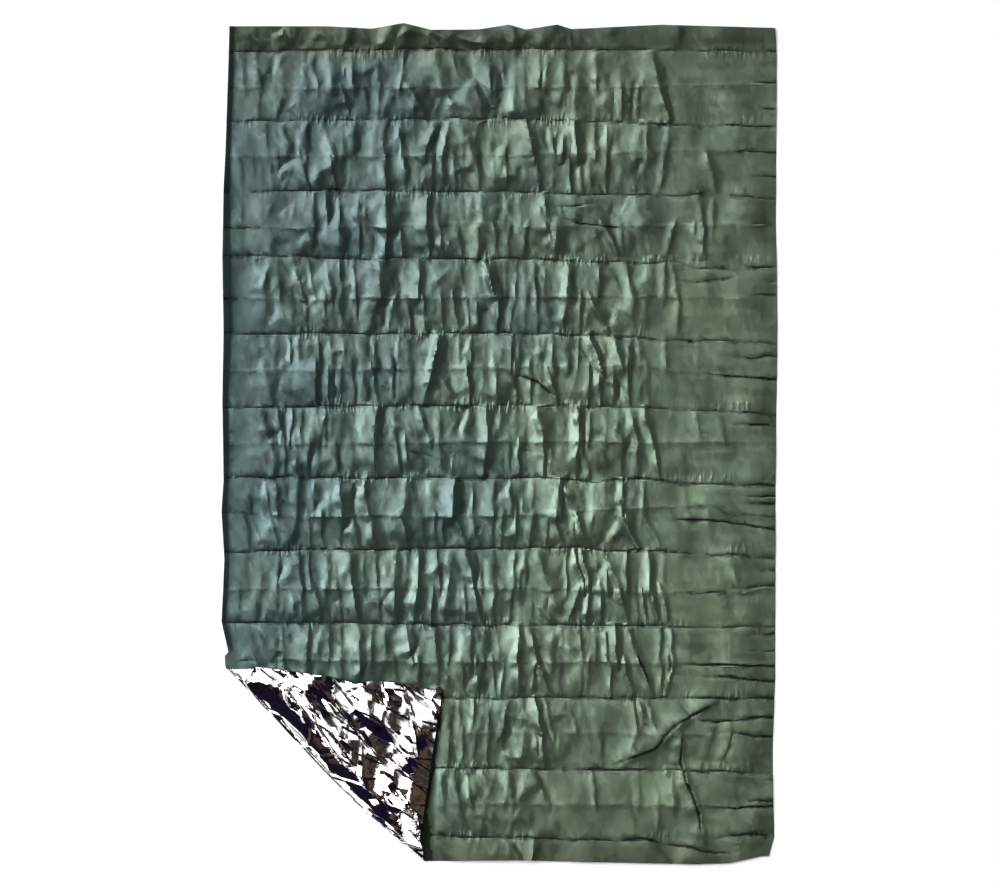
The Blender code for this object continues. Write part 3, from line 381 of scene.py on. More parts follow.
SHORT_CREASES: tuple[Crease, ...] = (
    # left side
    (((-690, 540), (-560, 540)), 4, -1.8), (((-680, 90), (-600, 90)), 7, -1.6),
    (((-696, -172), (-560, -180)), 4, -1.4), (((-690, -447), (-550, -447)), 5, -1.6),
    (((-690, -540), (-560, -540)), 4, -1.9), (((-680, 889), (-600, 889)), 3, -0.8),
    (((-690, 362), (-620, 362)), 4, -1.9), (((-690, 275), (-610, 275)), 5, -1.2),
    # right side, from the far end
    (((600, 903), (690, 903)), 3, -1.8), (((600, 840), (690, 840)), 3, -1.8),
    (((560, 735), (690, 728)), 3, -1.9), (((620, 668), (690, 668)), 3, -1.8),
    (((640, 580), (690, 580)), 3, -1.9), (((600, 550), (690, 550)), 3, -1.9),
    (((110, 595), (150, 590), (230, 600), (260, 605)), 4, -1.9),
    (((130, 570), (200, 550), (260, 543), (360, 540)), 4, -1.9),
    (((415, 420), (450, 408), (500, 403), (560, 412), (600, 425), (615, 410)), 4, -1.3),
    (((640, 405), (690, 405)), 4, -1.3), (((600, 366), (690, 373)), 3, -1.9),
    (((170, 430), (215, 430)), 4, -1.9), (((215, 415), (300, 425)), 4, -1.9),
    (((560, 216), (690, 216)), 3, -1.8), (((500, 175), (690, 162)), 4, -1.9),
    (((350, 195), (430, 182)), 4, -1.9), (((560, 49), (690, 49)), 4, -1.8),
    (((460, -15), (590, -15)), 4, -0.8), (((590, -105), (690, -105)), 3, -1.8),
    (((590, -132), (690, -132)), 3, -1.8), (((590, -150), (690, -150)), 3, -1.8),
    (((430, -158), (540, -158), (580, -178), (690, -180)), 4, -1.4),
    (((400, -190), (560, -192), (690, -215)), 4, -1.8), (((620, -318), (690, -318)), 3, -1.8),
    (((560, -362), (690, -352)), 4, -1.9), (((430, -372), (610, -372)), 4, -1.8),
    (((600, -480), (690, -475)), 3, -1.8), (((600, -515), (690, -515)), 3, -1.8),
    (((260, -550), (300, -540), (340, -545)), 4, -1.8), (((560, -580), (690, -597)), 4, -1.8),
    (((470, -690), (540, -697), (600, -690), (690, -683)), 4, -1.9),
    (((540, -722), (690, -732)), 4, -1.8), (((640, -780), (690, -780)), 3, -1.8),
    (((640, -842), (690, -842)), 3, -1.8), (((520, -912), (690, -905)), 4, -1.9),
    (((590, -892), (690, -892)), 3, -1.8), (((520, -985), (680, -975)), 4, -1.8),
    (((560, -1000), (620, -1005)), 3, -1.8), (((520, -200), (535, -265)), 4, -1.3),
    (((572, -285), (596, -325)), 4, -1.3), (((350, 470), (440, 455)), 5, -1.0),
    # along the steep sides of the long folds near the right corner
    (((322, -470), (338, -522), (361, -567), (384, -640)), 4, -1.9),
    (((410, -470), (427, -520), (421, -567), (416, -624)), 4, -1.9),
    (((270, -812), (314, -792), (393, -760), (427, -715), (447, -698), (478, -681), (560, -640)), 5, -2.2),
    (((370, -770), (400, -752), (427, -715), (447, -698), (500, -668)), 7, -2.2),
    (((456, -700), (450, -800), (467, -851), (496, -919), (516, -1020)), 5, -2.2),
    (((592, -705), (552, -812)), 3, -1.9), (((480, -690), (540, -698), (600, -690)), 4, -1.8),
    # along the packet's creases, where they are sharpest
    (((251, -990), (353, -988), (422, -999), (507, -1019), (600, -1026)), 4, -2.0),
    (((150, -815), (250, -815), (420, -815)), 4, -1.9), (((440, -553), (690, -556)), 4, -1.8),
    (((480, -577), (600, -586), (690, -596)), 4, -1.8), (((430, -636), (690, -636)), 4, -1.7),
    # curved creases across the middle
    (((0, 175), (60, 170), (100, 150), (140, 115), (170, 95)), 4, -1.9),
    (((-250, -5), (-150, -40)), 4, -1.8), (((30, -5), (110, -25)), 4, -1.8),
)

# ---- Zones ----
# The pleated and crumpled part of the width: y, x of its left end, x of its right end.
PLEATED_ZONE: tuple[Row, ...] = (
    (-1047, -60, 40), (-980, -120, 60), (-810, -150, 120), (-722, -140, 180), (-632, -560, 220),
    (-450, -630, 300), (-265, -600, 340), (-85, -620, 330), (95, -620, 360), (275, -600, 350),
    (460, -620, 380), (628, -560, 380), (890, -640, 400), (1047, -650, 160),
)
# More strongly crumpled patches: x, y, reach in x, reach in y, strength.
CRUMPLED_PATCHES: tuple[Row, ...] = (
    (-480, 380, 100, 80, 1.0), (-495, 220, 60, 35, 0.8), (-475, 75, 90, 28, 0.8),
    (-600, -130, 45, 35, 0.9), (-100, -820, 45, 70, 0.7), (-300, 760, 70, 70, 0.8),
    (-180, 300, 110, 70, 0.6), (-380, -120, 120, 70, 0.7), (-120, -160, 110, 60, 0.7),
    (-330, -390, 150, 80, 0.6), (80, 600, 120, 50, 0.6), (230, 430, 60, 50, 0.7),
    (-560, -560, 90, 40, 0.8), (-20, 700, 120, 60, 0.5), (160, -380, 120, 90, 0.4),
)

# ---- Sizes and shares that the shape is worked out from ----
LAID_WIDTH = 1.384            # size of the box that the outline's tables are read over, in metres
LAID_LENGTH = 2.094

PINCH = 0.10                  # least share of a pleat's height that is left where a crease crosses it
HALF_PINCH = 0.65             # the same at the creases half way between the packet's own
PINCH_SPREAD = 0.45           # how much that share varies
PINCH_STRONG = 0.35           # how much more a pleat of the highest grade keeps
STRONG_GRADES = (4.0, 9.0)    # grades where that begins and is full
PEAK_FIRST = 0.25             # first and last share of its length where a pleat can be highest
NARROWING_GRADES = (4.0, 8.0)
NARROWING = (0.75, 0.45)      # share of its width that a pleat of those grades loses as it runs out
PLEAT_OVERRUN = 6 * MM        # how far a pleat runs on past a crease
HALF_OVERRUN = 34 * MM        # the same past a half crease
WINDOW_MARGIN = 40            # in mm
FINE_WIDTH = (5, 6)           # least width of a fine pleat's side, and how much it varies, in mm
FINE_GAP = (12, 26)           # least distance between fine pleats, and how much it varies, in mm
FINE_LEAN = 36                # how far a fine pleat's ends differ in x, in mm
FINE_SHORTER = 0.4            # share of the band that a fine pleat may stop short at each end
FINE_GRADES = (1.5, 1.5, 2, 2, 2.5, 2.5, 3)

CREASE_TAPER = 70 * MM        # length over which a crease fades in from its end
AT_EDGE = 670                 # creases that end beyond this x run out over the sheet's edge, in mm
MARK_WIDTH = 6.5              # half the width of a crease's painted line of shade, in mm
MARK_CORE = 1.25              # above 1, so that the line is full for a quarter of that width
MARK_MOST = 1.8               # depth past which a crease's painted line of shade gets no darker, in mm
SHADOW_MARK = 2.0             # how dark the painted shadow of the corner's edge is, as a crease mark

PACKET_RISE = 2.0 * MM        # height of the hill crease between two valley creases
HILLS_REACH = 0.64            # distance from the middle where the hills end, in metres
HILLS_FADE = 0.20
ZIGZAG_RISE = 5.5 * MM        # height of the zigzag between the creases
ZIGZAG_CELL = 0.026           # distance between its folds
ZIGZAG_WANDER = 0.010         # how far its folds wander across
ZIGZAG_SWAY = 0.45            # and along, in shares of half a band
ZIGZAG_SHARES = (0.8, 1.0, 0.25, 1.0)      # its height at a half crease, between, at a crease, between
ZIGZAG_SEEDS = (31, 37)       # for its heights, and for the way its cells are split
TUFT_REACH = 0.018            # how far the short crinkles hang from a crease

FLOOR_GAP = 1.2 * MM          # how far the film stands clear between the places where it touches
CALM_SHARE = 0.40             # how crumpled the film is outside its pleated zone
ZONE_FADE = 0.10              # width over which the pleated zone ends, in metres
PATCH_REACH = 1.3             # where a crumpled patch ends, in its own reaches
RIPPLE = 0.40 * MM            # height of the ripples along the right side
RIPPLE_FROM = 0.36            # x where they begin, and the distance over which they do, in metres
RIPPLE_FADE = 0.12
WIDE_SWELL = 0.9 * MM
CURL_RISE = 5 * MM            # how far the left edge stands up
LEFT_CURL: tuple[Row, ...] = (   # y, width of the strip that stands up along the left edge
    (-1047, 12), (-470, 13), (-90, 15), (120, 16), (300, 25), (450, 25), (550, 21), (620, 20),
    (720, 14), (1047, 15),
)
FAR_RISE = 5 * MM             # how far the two ends stand up, from which y, and over what distance
FAR_RISE_FROM = 0.980
FAR_RISE_LENGTH = 0.067
NEAR_RISE = 3 * MM
NEAR_RISE_FROM = -0.985
NEAR_RISE_LENGTH = 0.060
COVERED_SHARE = 0.4           # how much relief is left under the turned corner
COVERED_FROM = (-140, -590)   # x and y that it stays below, in mm
CALM_WIDTH = 45 * MM          # width of the calm strip before the fold
CALM_FADE = 30 * MM
STRIP_FADE = 6 * MM           # width over which a strip begins


# ==== Small helpers ====
HASH_SCALE = 43758.5453                    # spreads neighbouring values far apart
X_RATE, Y_RATE, DRAW_RATE = 12.9898, 78.233, 37.719
COLUMN_RATE, ROW_RATE, SEED_RATE = 127.1, 311.7, 74.7
WAVES_PER_NOISE = 6
WAVE_RATES = (0.6, 1.6)                    # slowest and fastest wave, in shares of the typical one's rate
SPLIT_SEED = 100                           # from the seed of a lattice's heights to that of its splits


class Draw(IntEnum):
    """What a fold's chance number decides."""

    FIRST_END = 1
    LAST_END = 2
    PEAK = 3
    LEFT_WIDTH = 4
    RIGHT_WIDTH = 5
    LEAN = 6
    GAP = 7
    TOP = 8
    BOTTOM = 9
    GRADE = 10


def along(table: tuple[Row, ...], values: Array) -> Array:
    """Read the second column of a table in millimetres at places in metres, in metres."""
    rows = np.array(table, dtype=float) * MM
    return np.interp(values, rows[:, 0], rows[:, 1])


def ease(values: Array) -> Array:
    """Rise softly from 0 to 1 where the values do, and stay level below and above."""
    steps = np.clip(values, 0.0, 1.0)
    return steps * steps * (3.0 - 2.0 * steps)


def chance(x: float, y: float, draw: Draw) -> float:
    """A number from 0 to 1 that differs from fold to fold and is the same on every run."""
    value = math.sin(x * X_RATE + y * Y_RATE + draw * DRAW_RATE) * HASH_SCALE
    return value - math.floor(value)


@dataclass(frozen=True)
class WaveNoise:
    """Smooth wandering values made of a few sine waves.

    Attributes:
        scale: typical wavelength, in metres.
        seed: which set of waves to use.
        stretch: how many times longer the waves are across the sheet than along it.
    """

    scale: float
    seed: int
    stretch: float = 1.0

    def at(self, x: Array, y: Array) -> Array:
        """Work the values out.

        Args:
            x: places across the sheet, in metres.
            y: places along it.

        Returns:
            Values around zero, mostly within -1.5 to 1.5.
        """
        draws = np.random.default_rng(self.seed)
        total = np.zeros_like(x)
        for _ in range(WAVES_PER_NOISE):
            angle, phase = draws.uniform(0.0, 2.0 * math.pi, 2)
            rate = 2.0 * math.pi / self.scale * draws.uniform(*WAVE_RATES)
            total += np.sin((x / self.stretch * math.cos(angle) + y * math.sin(angle)) * rate + phase)
        return total / math.sqrt(WAVES_PER_NOISE)


def wandered(values: Array, layers: tuple[Row, ...], x: Array, y: Array) -> Array:
    """Shift places a little, so that nothing runs dead straight.

    Args:
        values: the places to shift, in metres.
        layers: rows of reach in millimetres, wavelength in metres, and seed.
        x: where each point lies across the sheet.
        y: where it lies along the sheet.

    Returns:
        The shifted places.
    """
    for reach, scale, seed in layers:
        values = values + reach * MM * WaveNoise(scale, seed).at(x, y)
    return values


def lattice_draw(column: Array, row: Array, seed: int) -> Array:
    """A number from -1 to 1 for each lattice corner, the same on every run."""
    value = np.sin(column * COLUMN_RATE + row * ROW_RATE + seed * SEED_RATE) * HASH_SCALE
    return 2.0 * (value - np.floor(value)) - 1.0


def facet_heights(across: Array, up: Array, corner: Callable[[Array, Array], Array], seed: int) -> Array:
    """Join the corners of a lattice with flat triangles.

    Args:
        across: place across the lattice, in cells.
        up: place up the lattice, in cells.
        corner: gives the height of the lattice corner at a column and a row.
        seed: decides which way each cell is split into its two triangles.

    Returns:
        The heights at the given places.
    """
    column, row = np.floor(across), np.floor(up)
    u, v = across - column, up - row
    near_left, near_right = corner(column, row), corner(column + 1, row)
    far_left, far_right = corner(column, row + 1), corner(column + 1, row + 1)
    rising = np.where(
        u > v,
        near_left + (near_right - near_left) * u + (far_right - near_right) * v,
        near_left + (far_right - far_left) * u + (far_left - near_left) * v,
    )
    falling = np.where(
        u + v < 1.0,
        near_left + (near_right - near_left) * u + (far_left - near_left) * v,
        far_right + (far_left - far_right) * (1.0 - u) + (near_right - far_right) * (1.0 - v),
    )
    return np.where(lattice_draw(column, row, seed) > 0.0, rising, falling)


@dataclass(frozen=True)
class FacetNoise:
    """Crumpled film: random heights on a slanting lattice, joined by flat triangles.

    Attributes:
        angle: turn of the lattice, in degrees.
        cell: size of a lattice cell, in millimetres.
        height: the most that a corner stands above or below the middle, in millimetres.
        seed: which set of heights to use.
    """

    angle: float
    cell: tuple[float, float]
    height: float
    seed: int

    def at(self, x: Array, y: Array) -> Array:
        """Work the heights out.

        Args:
            x: places across the sheet, in metres.
            y: places along it.

        Returns:
            Heights in metres, above or below zero.
        """
        turn = math.radians(self.angle)
        across = (x * math.cos(turn) + y * math.sin(turn)) / (self.cell[0] * MM)
        up = (y * math.cos(turn) - x * math.sin(turn)) / (self.cell[1] * MM)
        heights = facet_heights(
            across, up, lambda i, j: lattice_draw(i, j, self.seed), self.seed + SPLIT_SEED)
        return heights * self.height * MM


# Layers of crumpling: angle, cell, height, seed.
CRUMPLES = (
    FacetNoise(8, (34, 58), 0.90, 1), FacetNoise(-24, (21, 33), 0.55, 2), FacetNoise(41, (12, 17), 0.20, 3),
)
FLAP_CRUMPLES = (
    FacetNoise(12, (46, 64), 3.2, 4), FacetNoise(-33, (25, 34), 2.0, 5), FacetNoise(55, (13, 18), 0.8, 6),
)
# Slow waves: wavelength in metres, seed, and how many times longer they are across the sheet.
RIPPLE_WAVES = WaveNoise(0.034, 11, 5.0)
SWELL_WAVES = WaveNoise(0.16, 17)
SWAY_WAVES = WaveNoise(0.10, 23)
ZIGZAG_WAVES = WaveNoise(0.12, 21)
BAND_WAVES = WaveNoise(0.09, 23)
# How the pleats and creases wander: reach in millimetres, wavelength in metres, seed.
WANDER_ACROSS: tuple[Row, ...] = ((2.0, 0.070, 1), (0.8, 0.030, 3))
WANDER_ALONG: tuple[Row, ...] = ((1.8, 0.110, 2), (0.6, 0.034, 5))


# ==== The sheet's shape ====
@dataclass(frozen=True)
class Fold:
    """A straight fold that stands up between two ends.  Lengths are in millimetres where no unit is named.

    Attributes:
        start: x and y of one end.
        end: x and y of the other end.
        left: width of its left side, seen from above with the first end on top.
        right: width of its right side.
        grade: how strong the fold is, from 1.5 to 9.
        hold: least share of its height that is kept at its first end and at its last.
        overrun: how far it runs on past its first end and past its last, in metres.
    """

    start: Point
    end: Point
    left: float
    right: float
    grade: float
    hold: tuple[float, float] = (PINCH, PINCH)
    overrun: tuple[float, float] = (PLEAT_OVERRUN, PLEAT_OVERRUN)

    def swell(self, share: Array, length: float) -> Array:
        """How much of the fold's full height stands at each place along it.

        Args:
            share: place along the fold, 0 at its first end and 1 at its last.
            length: the fold's length, in metres.

        Returns:
            Shares from 0 to 1.
        """
        grades = STRONG_GRADES[1] - STRONG_GRADES[0]
        strong = PINCH_STRONG * max(0.0, self.grade - STRONG_GRADES[0]) / grades
        first = min(1.0, self.hold[0] + strong + PINCH_SPREAD * chance(*self.start, Draw.FIRST_END))
        last = min(1.0, self.hold[1] + strong + PINCH_SPREAD * chance(*self.start, Draw.LAST_END))
        peak = PEAK_FIRST + (1.0 - 2.0 * PEAK_FIRST) * chance(*self.start, Draw.PEAK)
        rising = first + (1.0 - first) * np.clip(share / peak, 0.0, 1.0)
        falling = last + (1.0 - last) * np.clip((1.0 - share) / (1.0 - peak), 0.0, 1.0)
        past = np.maximum(-share * length / self.overrun[0], (share - 1.0) * length / self.overrun[1])
        return np.minimum(rising, falling) * ease(1.0 - past)

    def height(self, x: Array, y: Array) -> Array:
        """Work out the height of the fold.

        Args:
            x: places across the sheet, in metres.
            y: places along it.

        Returns:
            Heights over those places, in metres.
        """
        run = (np.array(self.end, dtype=float) - np.array(self.start, dtype=float)) * MM
        length = float(np.hypot(run[0], run[1]))
        run /= length
        past_x, past_y = x - self.start[0] * MM, y - self.start[1] * MM
        share = (past_x * run[0] + past_y * run[1]) / length
        side = past_x * run[1] - past_y * run[0]      # above zero on the left of a fold that runs down
        swell = self.swell(share, length)
        narrowing = float(np.interp(self.grade, NARROWING_GRADES, NARROWING))
        width = np.where(side < 0.0, self.right, self.left) * MM * (1.0 - narrowing * (1.0 - swell))
        slope = np.clip(1.0 - np.abs(side) / width, 0.0, 1.0)
        return GRADE_HEIGHTS[self.grade] * MM * swell * 0.5 * (slope + slope ** 2)


def folds(rows: tuple[Row, ...], overrun: float = PLEAT_OVERRUN) -> list[Fold]:
    """The folds of a table whose rows give x and y of both ends, both widths and the grade."""
    return [Fold(row[0:2], row[2:4], *row[4:], overrun=(overrun, overrun)) for row in rows]


class HeightField:
    """Heights over the sheet's points, built up one fold or crease at a time."""

    def __init__(self, x: Array, y: Array) -> None:
        """Start flat.

        Args:
            x: where each point lies across the sheet, one row of points to a row of the array.
            y: where each point lies along the sheet.
        """
        self.x, self.y = x, y
        self.columns, self.rows = x[x.shape[0] // 2], y[:, y.shape[1] // 2]
        self.raised = np.zeros_like(x)
        self.pressed = np.zeros_like(x)
        self.shade_lines = np.zeros_like(x)

    def window(self, start: Point, end: Point, reach: float) -> tuple[slice, slice]:
        """Find the points near a line, so that a fold is worked out only where it can matter.

        Args:
            start: x and y of one end of the line, in millimetres.
            end: x and y of its other end.
            reach: how far to its sides the fold reaches, in millimetres.

        Returns:
            The rows and the columns of the block that holds them.
        """
        around = (reach + WINDOW_MARGIN) * MM
        low_x, high_x = sorted((start[0] * MM, end[0] * MM))
        low_y, high_y = sorted((start[1] * MM, end[1] * MM))
        columns = np.searchsorted(self.columns, (low_x - around, high_x + around))
        rows = np.searchsorted(self.rows, (low_y - around, high_y + around))
        return slice(*rows), slice(*columns)

    def add_fold(self, fold: Fold) -> None:
        """Raise one fold; where folds cross, the higher one stays."""
        block = self.window(fold.start, fold.end, max(fold.left, fold.right))
        self.raised[block] = np.maximum(self.raised[block], fold.height(self.x[block], self.y[block]))

    def add_crease(self, crease: Crease) -> None:
        """Press or lift one crease along its line, and mark where its painted line of shade runs.

        Args:
            crease: its points, half width and height; below zero, it is pressed in.
        """
        points, half_width, height = crease
        lengths = [math.dist(start, end) * MM for start, end in zip(points, points[1:])]
        for number, (start, end) in enumerate(zip(points, points[1:])):
            block = self.window(start, end, half_width)
            x, y = self.x[block] - start[0] * MM, self.y[block] - start[1] * MM
            run = np.array((end[0] - start[0], end[1] - start[1])) * MM
            share = np.clip((x * run[0] + y * run[1]) / float(run @ run), 0.0, 1.0)
            distance = np.hypot(x - share * run[0], y - share * run[1])
            place = sum(lengths[:number]) + share * lengths[number]
            first = place / CREASE_TAPER if abs(points[0][0]) < AT_EDGE else np.ones_like(place)
            last = (sum(lengths) - place) / CREASE_TAPER if abs(points[-1][0]) < AT_EDGE else first
            taper = np.clip(np.minimum(first, last), 0.0, 1.0)
            profile = np.clip(1.0 - distance / (half_width * MM), 0.0, 1.0) * taper
            if height < 0.0:
                self.pressed[block] = np.minimum(self.pressed[block], height * MM * profile)
            else:
                self.raised[block] += height * MM * profile
            # the dark line of shade that is painted along the crease
            line = np.clip(MARK_CORE - distance / (MARK_WIDTH * MM), 0.0, 1.0)
            self.shade_lines[block] = np.maximum(self.shade_lines[block], line * min(MARK_MOST, abs(height)) * taper)


def strip_share(x: Array, y: Array, ends: tuple[Point, Point], half: float) -> Array:
    """Work out how far each point is inside a strip along a line.

    Args:
        x: places across the sheet, in metres.
        y: places along it.
        ends: both ends of the line, in millimetres.
        half: half the strip's width, in millimetres.

    Returns:
        1 in the strip and 0 a little way off.
    """
    run = (np.array(ends[1], dtype=float) - np.array(ends[0], dtype=float)) * MM
    past_x, past_y = x - ends[0][0] * MM, y - ends[0][1] * MM
    place = np.clip((past_x * run[0] + past_y * run[1]) / float(run @ run), 0.0, 1.0)
    away = np.hypot(past_x - place * run[0], past_y - place * run[1])
    return ease((half * MM - away) / STRIP_FADE + 0.5)


@dataclass(frozen=True)
class TurnedCorner:
    """The corner that is turned over along a bowed, round fold, silver side up.

    Attributes:
        start: upper end of the fold's outer edge, in millimetres.
        end: its lower end.
        corner: where the corner would lie if the sheet were flat.
        lands: where it lies now.
        bow: how far the fold bulges outwards, in metres.
        bow_peak: where along the fold it bulges most.
        radius: radius of the roll at the fold.
        rise: how far the corner stands up towards its free edges.
        rise_length: distance over which it does.
        level: width of the level strip beside the fold.
        settle: distance past it over which the crumples begin.
        wobble_reach: how far in from a free edge its unevenness reaches.
        overrun: how far the corner's folds run on past their ends.
        facet_share: share of the wide facets' height that is built.
        band_width: width of the band where the film slopes smoothly down to the fold.
        band_wander: how much that width varies.
        band_fade: distance over which the band ends.
        band_level: height of its inner side above its outer one.
        band_ends: shares of the fold's length between which it runs.
        band_taper: share of the length over which it ends there.
        band_smooth: how smooth it is.
        panel_smooth: how smooth the tilted panels are.
        panel_crisp: how sharply they end.
        lean: how far the corner tilts as a whole, to the left.
    """

    start: Point = (-683, -562)
    end: Point = (-190, -1041)
    corner: Point = (-694, -1047)
    lands: Point = (-146, -612)
    bow: float = 16 * MM
    bow_peak: float = 0.62
    radius: float = 5.0 * MM
    rise: float = 2.0 * MM
    rise_length: float = 120 * MM
    level: float = 11 * MM
    settle: float = 32 * MM
    wobble_reach: float = 70 * MM
    overrun: float = 26 * MM
    facet_share: float = 0.45
    band_width: float = 42 * MM
    band_wander: float = 5 * MM
    band_fade: float = 8 * MM
    band_level: float = 9.5 * MM
    band_ends: tuple[float, float] = (0.10, 0.72)
    band_taper: float = 0.05
    band_smooth: float = 0.75
    panel_smooth: float = 0.8
    panel_crisp: float = 4.0
    lean: float = 0.04

    def line(self) -> tuple[Array, Array, float]:
        """Work out where the fold runs.

        Returns:
            Its upper end, its direction as a unit vector and its length, in metres.
        """
        start = np.array(self.start, dtype=float) * MM
        run = np.array(self.end, dtype=float) * MM - start
        length = float(np.linalg.norm(run))
        return start, run / length, length

    def inside(self, x: Array, y: Array) -> Array:
        """How far each place of the flat sheet is from the fold, below zero on the corner."""
        start, run, _ = self.line()
        return (y - start[1]) * run[0] - (x - start[0]) * run[1]

    def roll_line(self, share: Array | float) -> Array:
        """How far out the film starts to roll over, at a share of the fold's length."""
        skewed = np.clip(share, 0.0, 1.0) ** (math.log(0.5) / math.log(self.bow_peak))
        return self.bow * np.sin(math.pi * skewed) - self.radius - FILM

    def band(self, x: Array, y: Array) -> Array:
        """Find the smooth band beside the fold.

        Args:
            x: places across the sheet while it is flat, in metres.
            y: places along it.

        Returns:
            1 in the band and 0 elsewhere.
        """
        start, run, length = self.line()
        share = ((x - start[0]) * run[0] + (y - start[1]) * run[1]) / length
        past = -self.inside(x, y) - self.roll_line(share) - math.pi * self.radius
        width = self.band_width + self.band_wander * BAND_WAVES.at(x, y)
        first = ease((share - self.band_ends[0]) / self.band_taper)
        last = ease((self.band_ends[1] - share) / self.band_taper)
        return ease((width - past) / self.band_fade + 0.5) * first * last

    def facets(self, x: Array, y: Array) -> Array:
        """Work out the height of the corner's own folds and crumples.

        Args:
            x: where each point of the corner lies across, once it is turned over, in metres.
            y: where it lies along.

        Returns:
            Heights above the smooth corner, in metres and never below zero.
        """
        total = np.zeros_like(x)
        for fold in folds(FLAP_FOLDS, self.overrun):
            total = np.maximum(total, fold.height(x, y))
        for angle, wavelength, height, phase in FLAP_FACETS:
            turn = math.radians(angle)
            wave = (x * math.cos(turn) + y * math.sin(turn)) / (wavelength * MM) + phase
            total += self.facet_share * height * MM * np.abs(2.0 * (wave - np.floor(wave)) - 1.0)
        for layer in FLAP_CRUMPLES:
            total += layer.at(x, y) + layer.height * MM
        for x0, y0, x1, y1, half_width, level in FLAP_LEVELS:
            share = strip_share(x, y, ((x0, y0), (x1, y1)), half_width)
            total += share * (level * MM - total)
        return total

    def masks(self, x: Array, y: Array) -> tuple[Array, Array]:
        """Find where the corner's surface is smooth and where it tilts.

        Args:
            x: where each point of the corner lies across, once it is turned over, in metres.
            y: where it lies along.

        Returns:
            How crumpled it is at each point, and how far its panels tilt to the right.
        """
        smooth, lean = np.zeros_like(x), np.zeros_like(x)
        for x0, y0, x1, y1, half_width, _ in FLAP_LEVELS:
            smooth = np.maximum(smooth, strip_share(x, y, ((x0, y0), (x1, y1)), half_width))
        for middle_x, middle_y, reach_x, reach_y, tilt in FLAP_PANELS:
            across = np.abs(x - middle_x * MM) / (reach_x * MM)
            away = np.maximum(across, np.abs(y - middle_y * MM) / (reach_y * MM))
            panel = ease((1.0 - away) * self.panel_crisp + 0.5)
            smooth = np.maximum(smooth, panel * self.panel_smooth)
            lean = np.maximum(lean, panel * tilt)
        return 1.0 - smooth, lean - self.lean

    def turn(self, x: Array, y: Array, z: Array) -> Array:
        """Turn the corner over along the fold, green side inwards.

        Args:
            x: where each point lies across the sheet before the fold is made.
            y: where it lies along the sheet.
            z: its height above the surface.

        Returns:
            The points' places, one row each.
        """
        start, run, length = self.line()
        outward = np.array((run[1], -run[0]))
        place = (x - start[0]) * run[0] + (y - start[1]) * run[1]
        roll_start = self.roll_line(place / length)
        excess = (x - start[0]) * outward[0] + (y - start[1]) * outward[1] - roll_start
        arc = math.pi * self.radius
        angle = np.clip(excess / self.radius, 0.0, math.pi)
        beyond = np.maximum(excess - arc, 0.0)

        corner = np.array(self.corner, dtype=float) * MM - start
        corner_place = float(corner @ run)
        corner_roll = float(self.roll_line(corner_place / length))
        lands = np.array(self.lands, dtype=float) * MM
        foot = start + run * corner_place + outward * corner_roll
        back = (lands - foot) / (float(corner @ outward) - corner_roll - arc)

        out = roll_start + self.radius * np.sin(angle)
        flap_x = start[0] + run[0] * place + outward[0] * out + back[0] * beyond
        flap_y = start[1] + run[1] * place + outward[1] * out + back[1] * beyond
        settle = np.clip((beyond - self.level) / self.settle, 0.0, 1.0)
        crumple = self.rise * ease(beyond / self.rise_length) + self.facets(flap_x, flap_y)
        crumple += self.band(x, y) * (self.band_level - crumple)
        flap_z = FILM + self.radius * (1.0 - np.cos(angle)) + settle * crumple

        ends = np.array(self.end, dtype=float) * MM
        below_top = np.interp(flap_x, (start[0], lands[0]), (start[1], lands[1])) - flap_y
        inside = np.interp(flap_y, (ends[1], lands[1]), (ends[0], lands[0])) - flap_x
        top_fade = np.exp(-np.maximum(below_top, 0.0) / self.wobble_reach)
        side_fade = np.exp(-np.maximum(inside, 0.0) / self.wobble_reach)
        top_shift = along(FLAP_TOP_WOBBLE, flap_x) * top_fade
        side_shift = along(FLAP_SIDE_WOBBLE, flap_y) * side_fade
        on_flap = excess > 0.0
        return np.stack((np.where(on_flap, flap_x + side_shift * settle, x),
                         np.where(on_flap, flap_y + top_shift * settle, y),
                         np.where(on_flap, flap_z, z)), axis=-1)


def fine_pleats(top: float, bottom: float) -> list[Fold]:
    """Place fine pleats that fill a band between its main ones.

    Args:
        top: y of the band's upper crease, in millimetres.
        bottom: y of its lower one.

    Returns:
        The folds, in order across the sheet.
    """
    rows = np.array(PLEATED_ZONE, dtype=float)
    middle = (top + bottom) / 2.0
    place = float(np.interp(middle, rows[:, 0], rows[:, 1]))
    end = float(np.interp(middle, rows[:, 0], rows[:, 2]))
    pleats = []
    while place < end:
        lean = FINE_LEAN * (chance(place, top, Draw.LEAN) - 0.5)
        first = top - (top - bottom) * FINE_SHORTER * chance(place, top, Draw.TOP)
        last = bottom + (top - bottom) * FINE_SHORTER * chance(place, top, Draw.BOTTOM)
        left = FINE_WIDTH[0] + FINE_WIDTH[1] * chance(place, top, Draw.LEFT_WIDTH)
        right = FINE_WIDTH[0] + FINE_WIDTH[1] * chance(place, top, Draw.RIGHT_WIDTH)
        grade = FINE_GRADES[int(chance(place, top, Draw.GRADE) * len(FINE_GRADES))]
        pleats.append(Fold((place - lean, first), (place + lean, last), left, right, grade))
        place += FINE_GAP[0] + FINE_GAP[1] * chance(place, top, Draw.GAP)
    return pleats


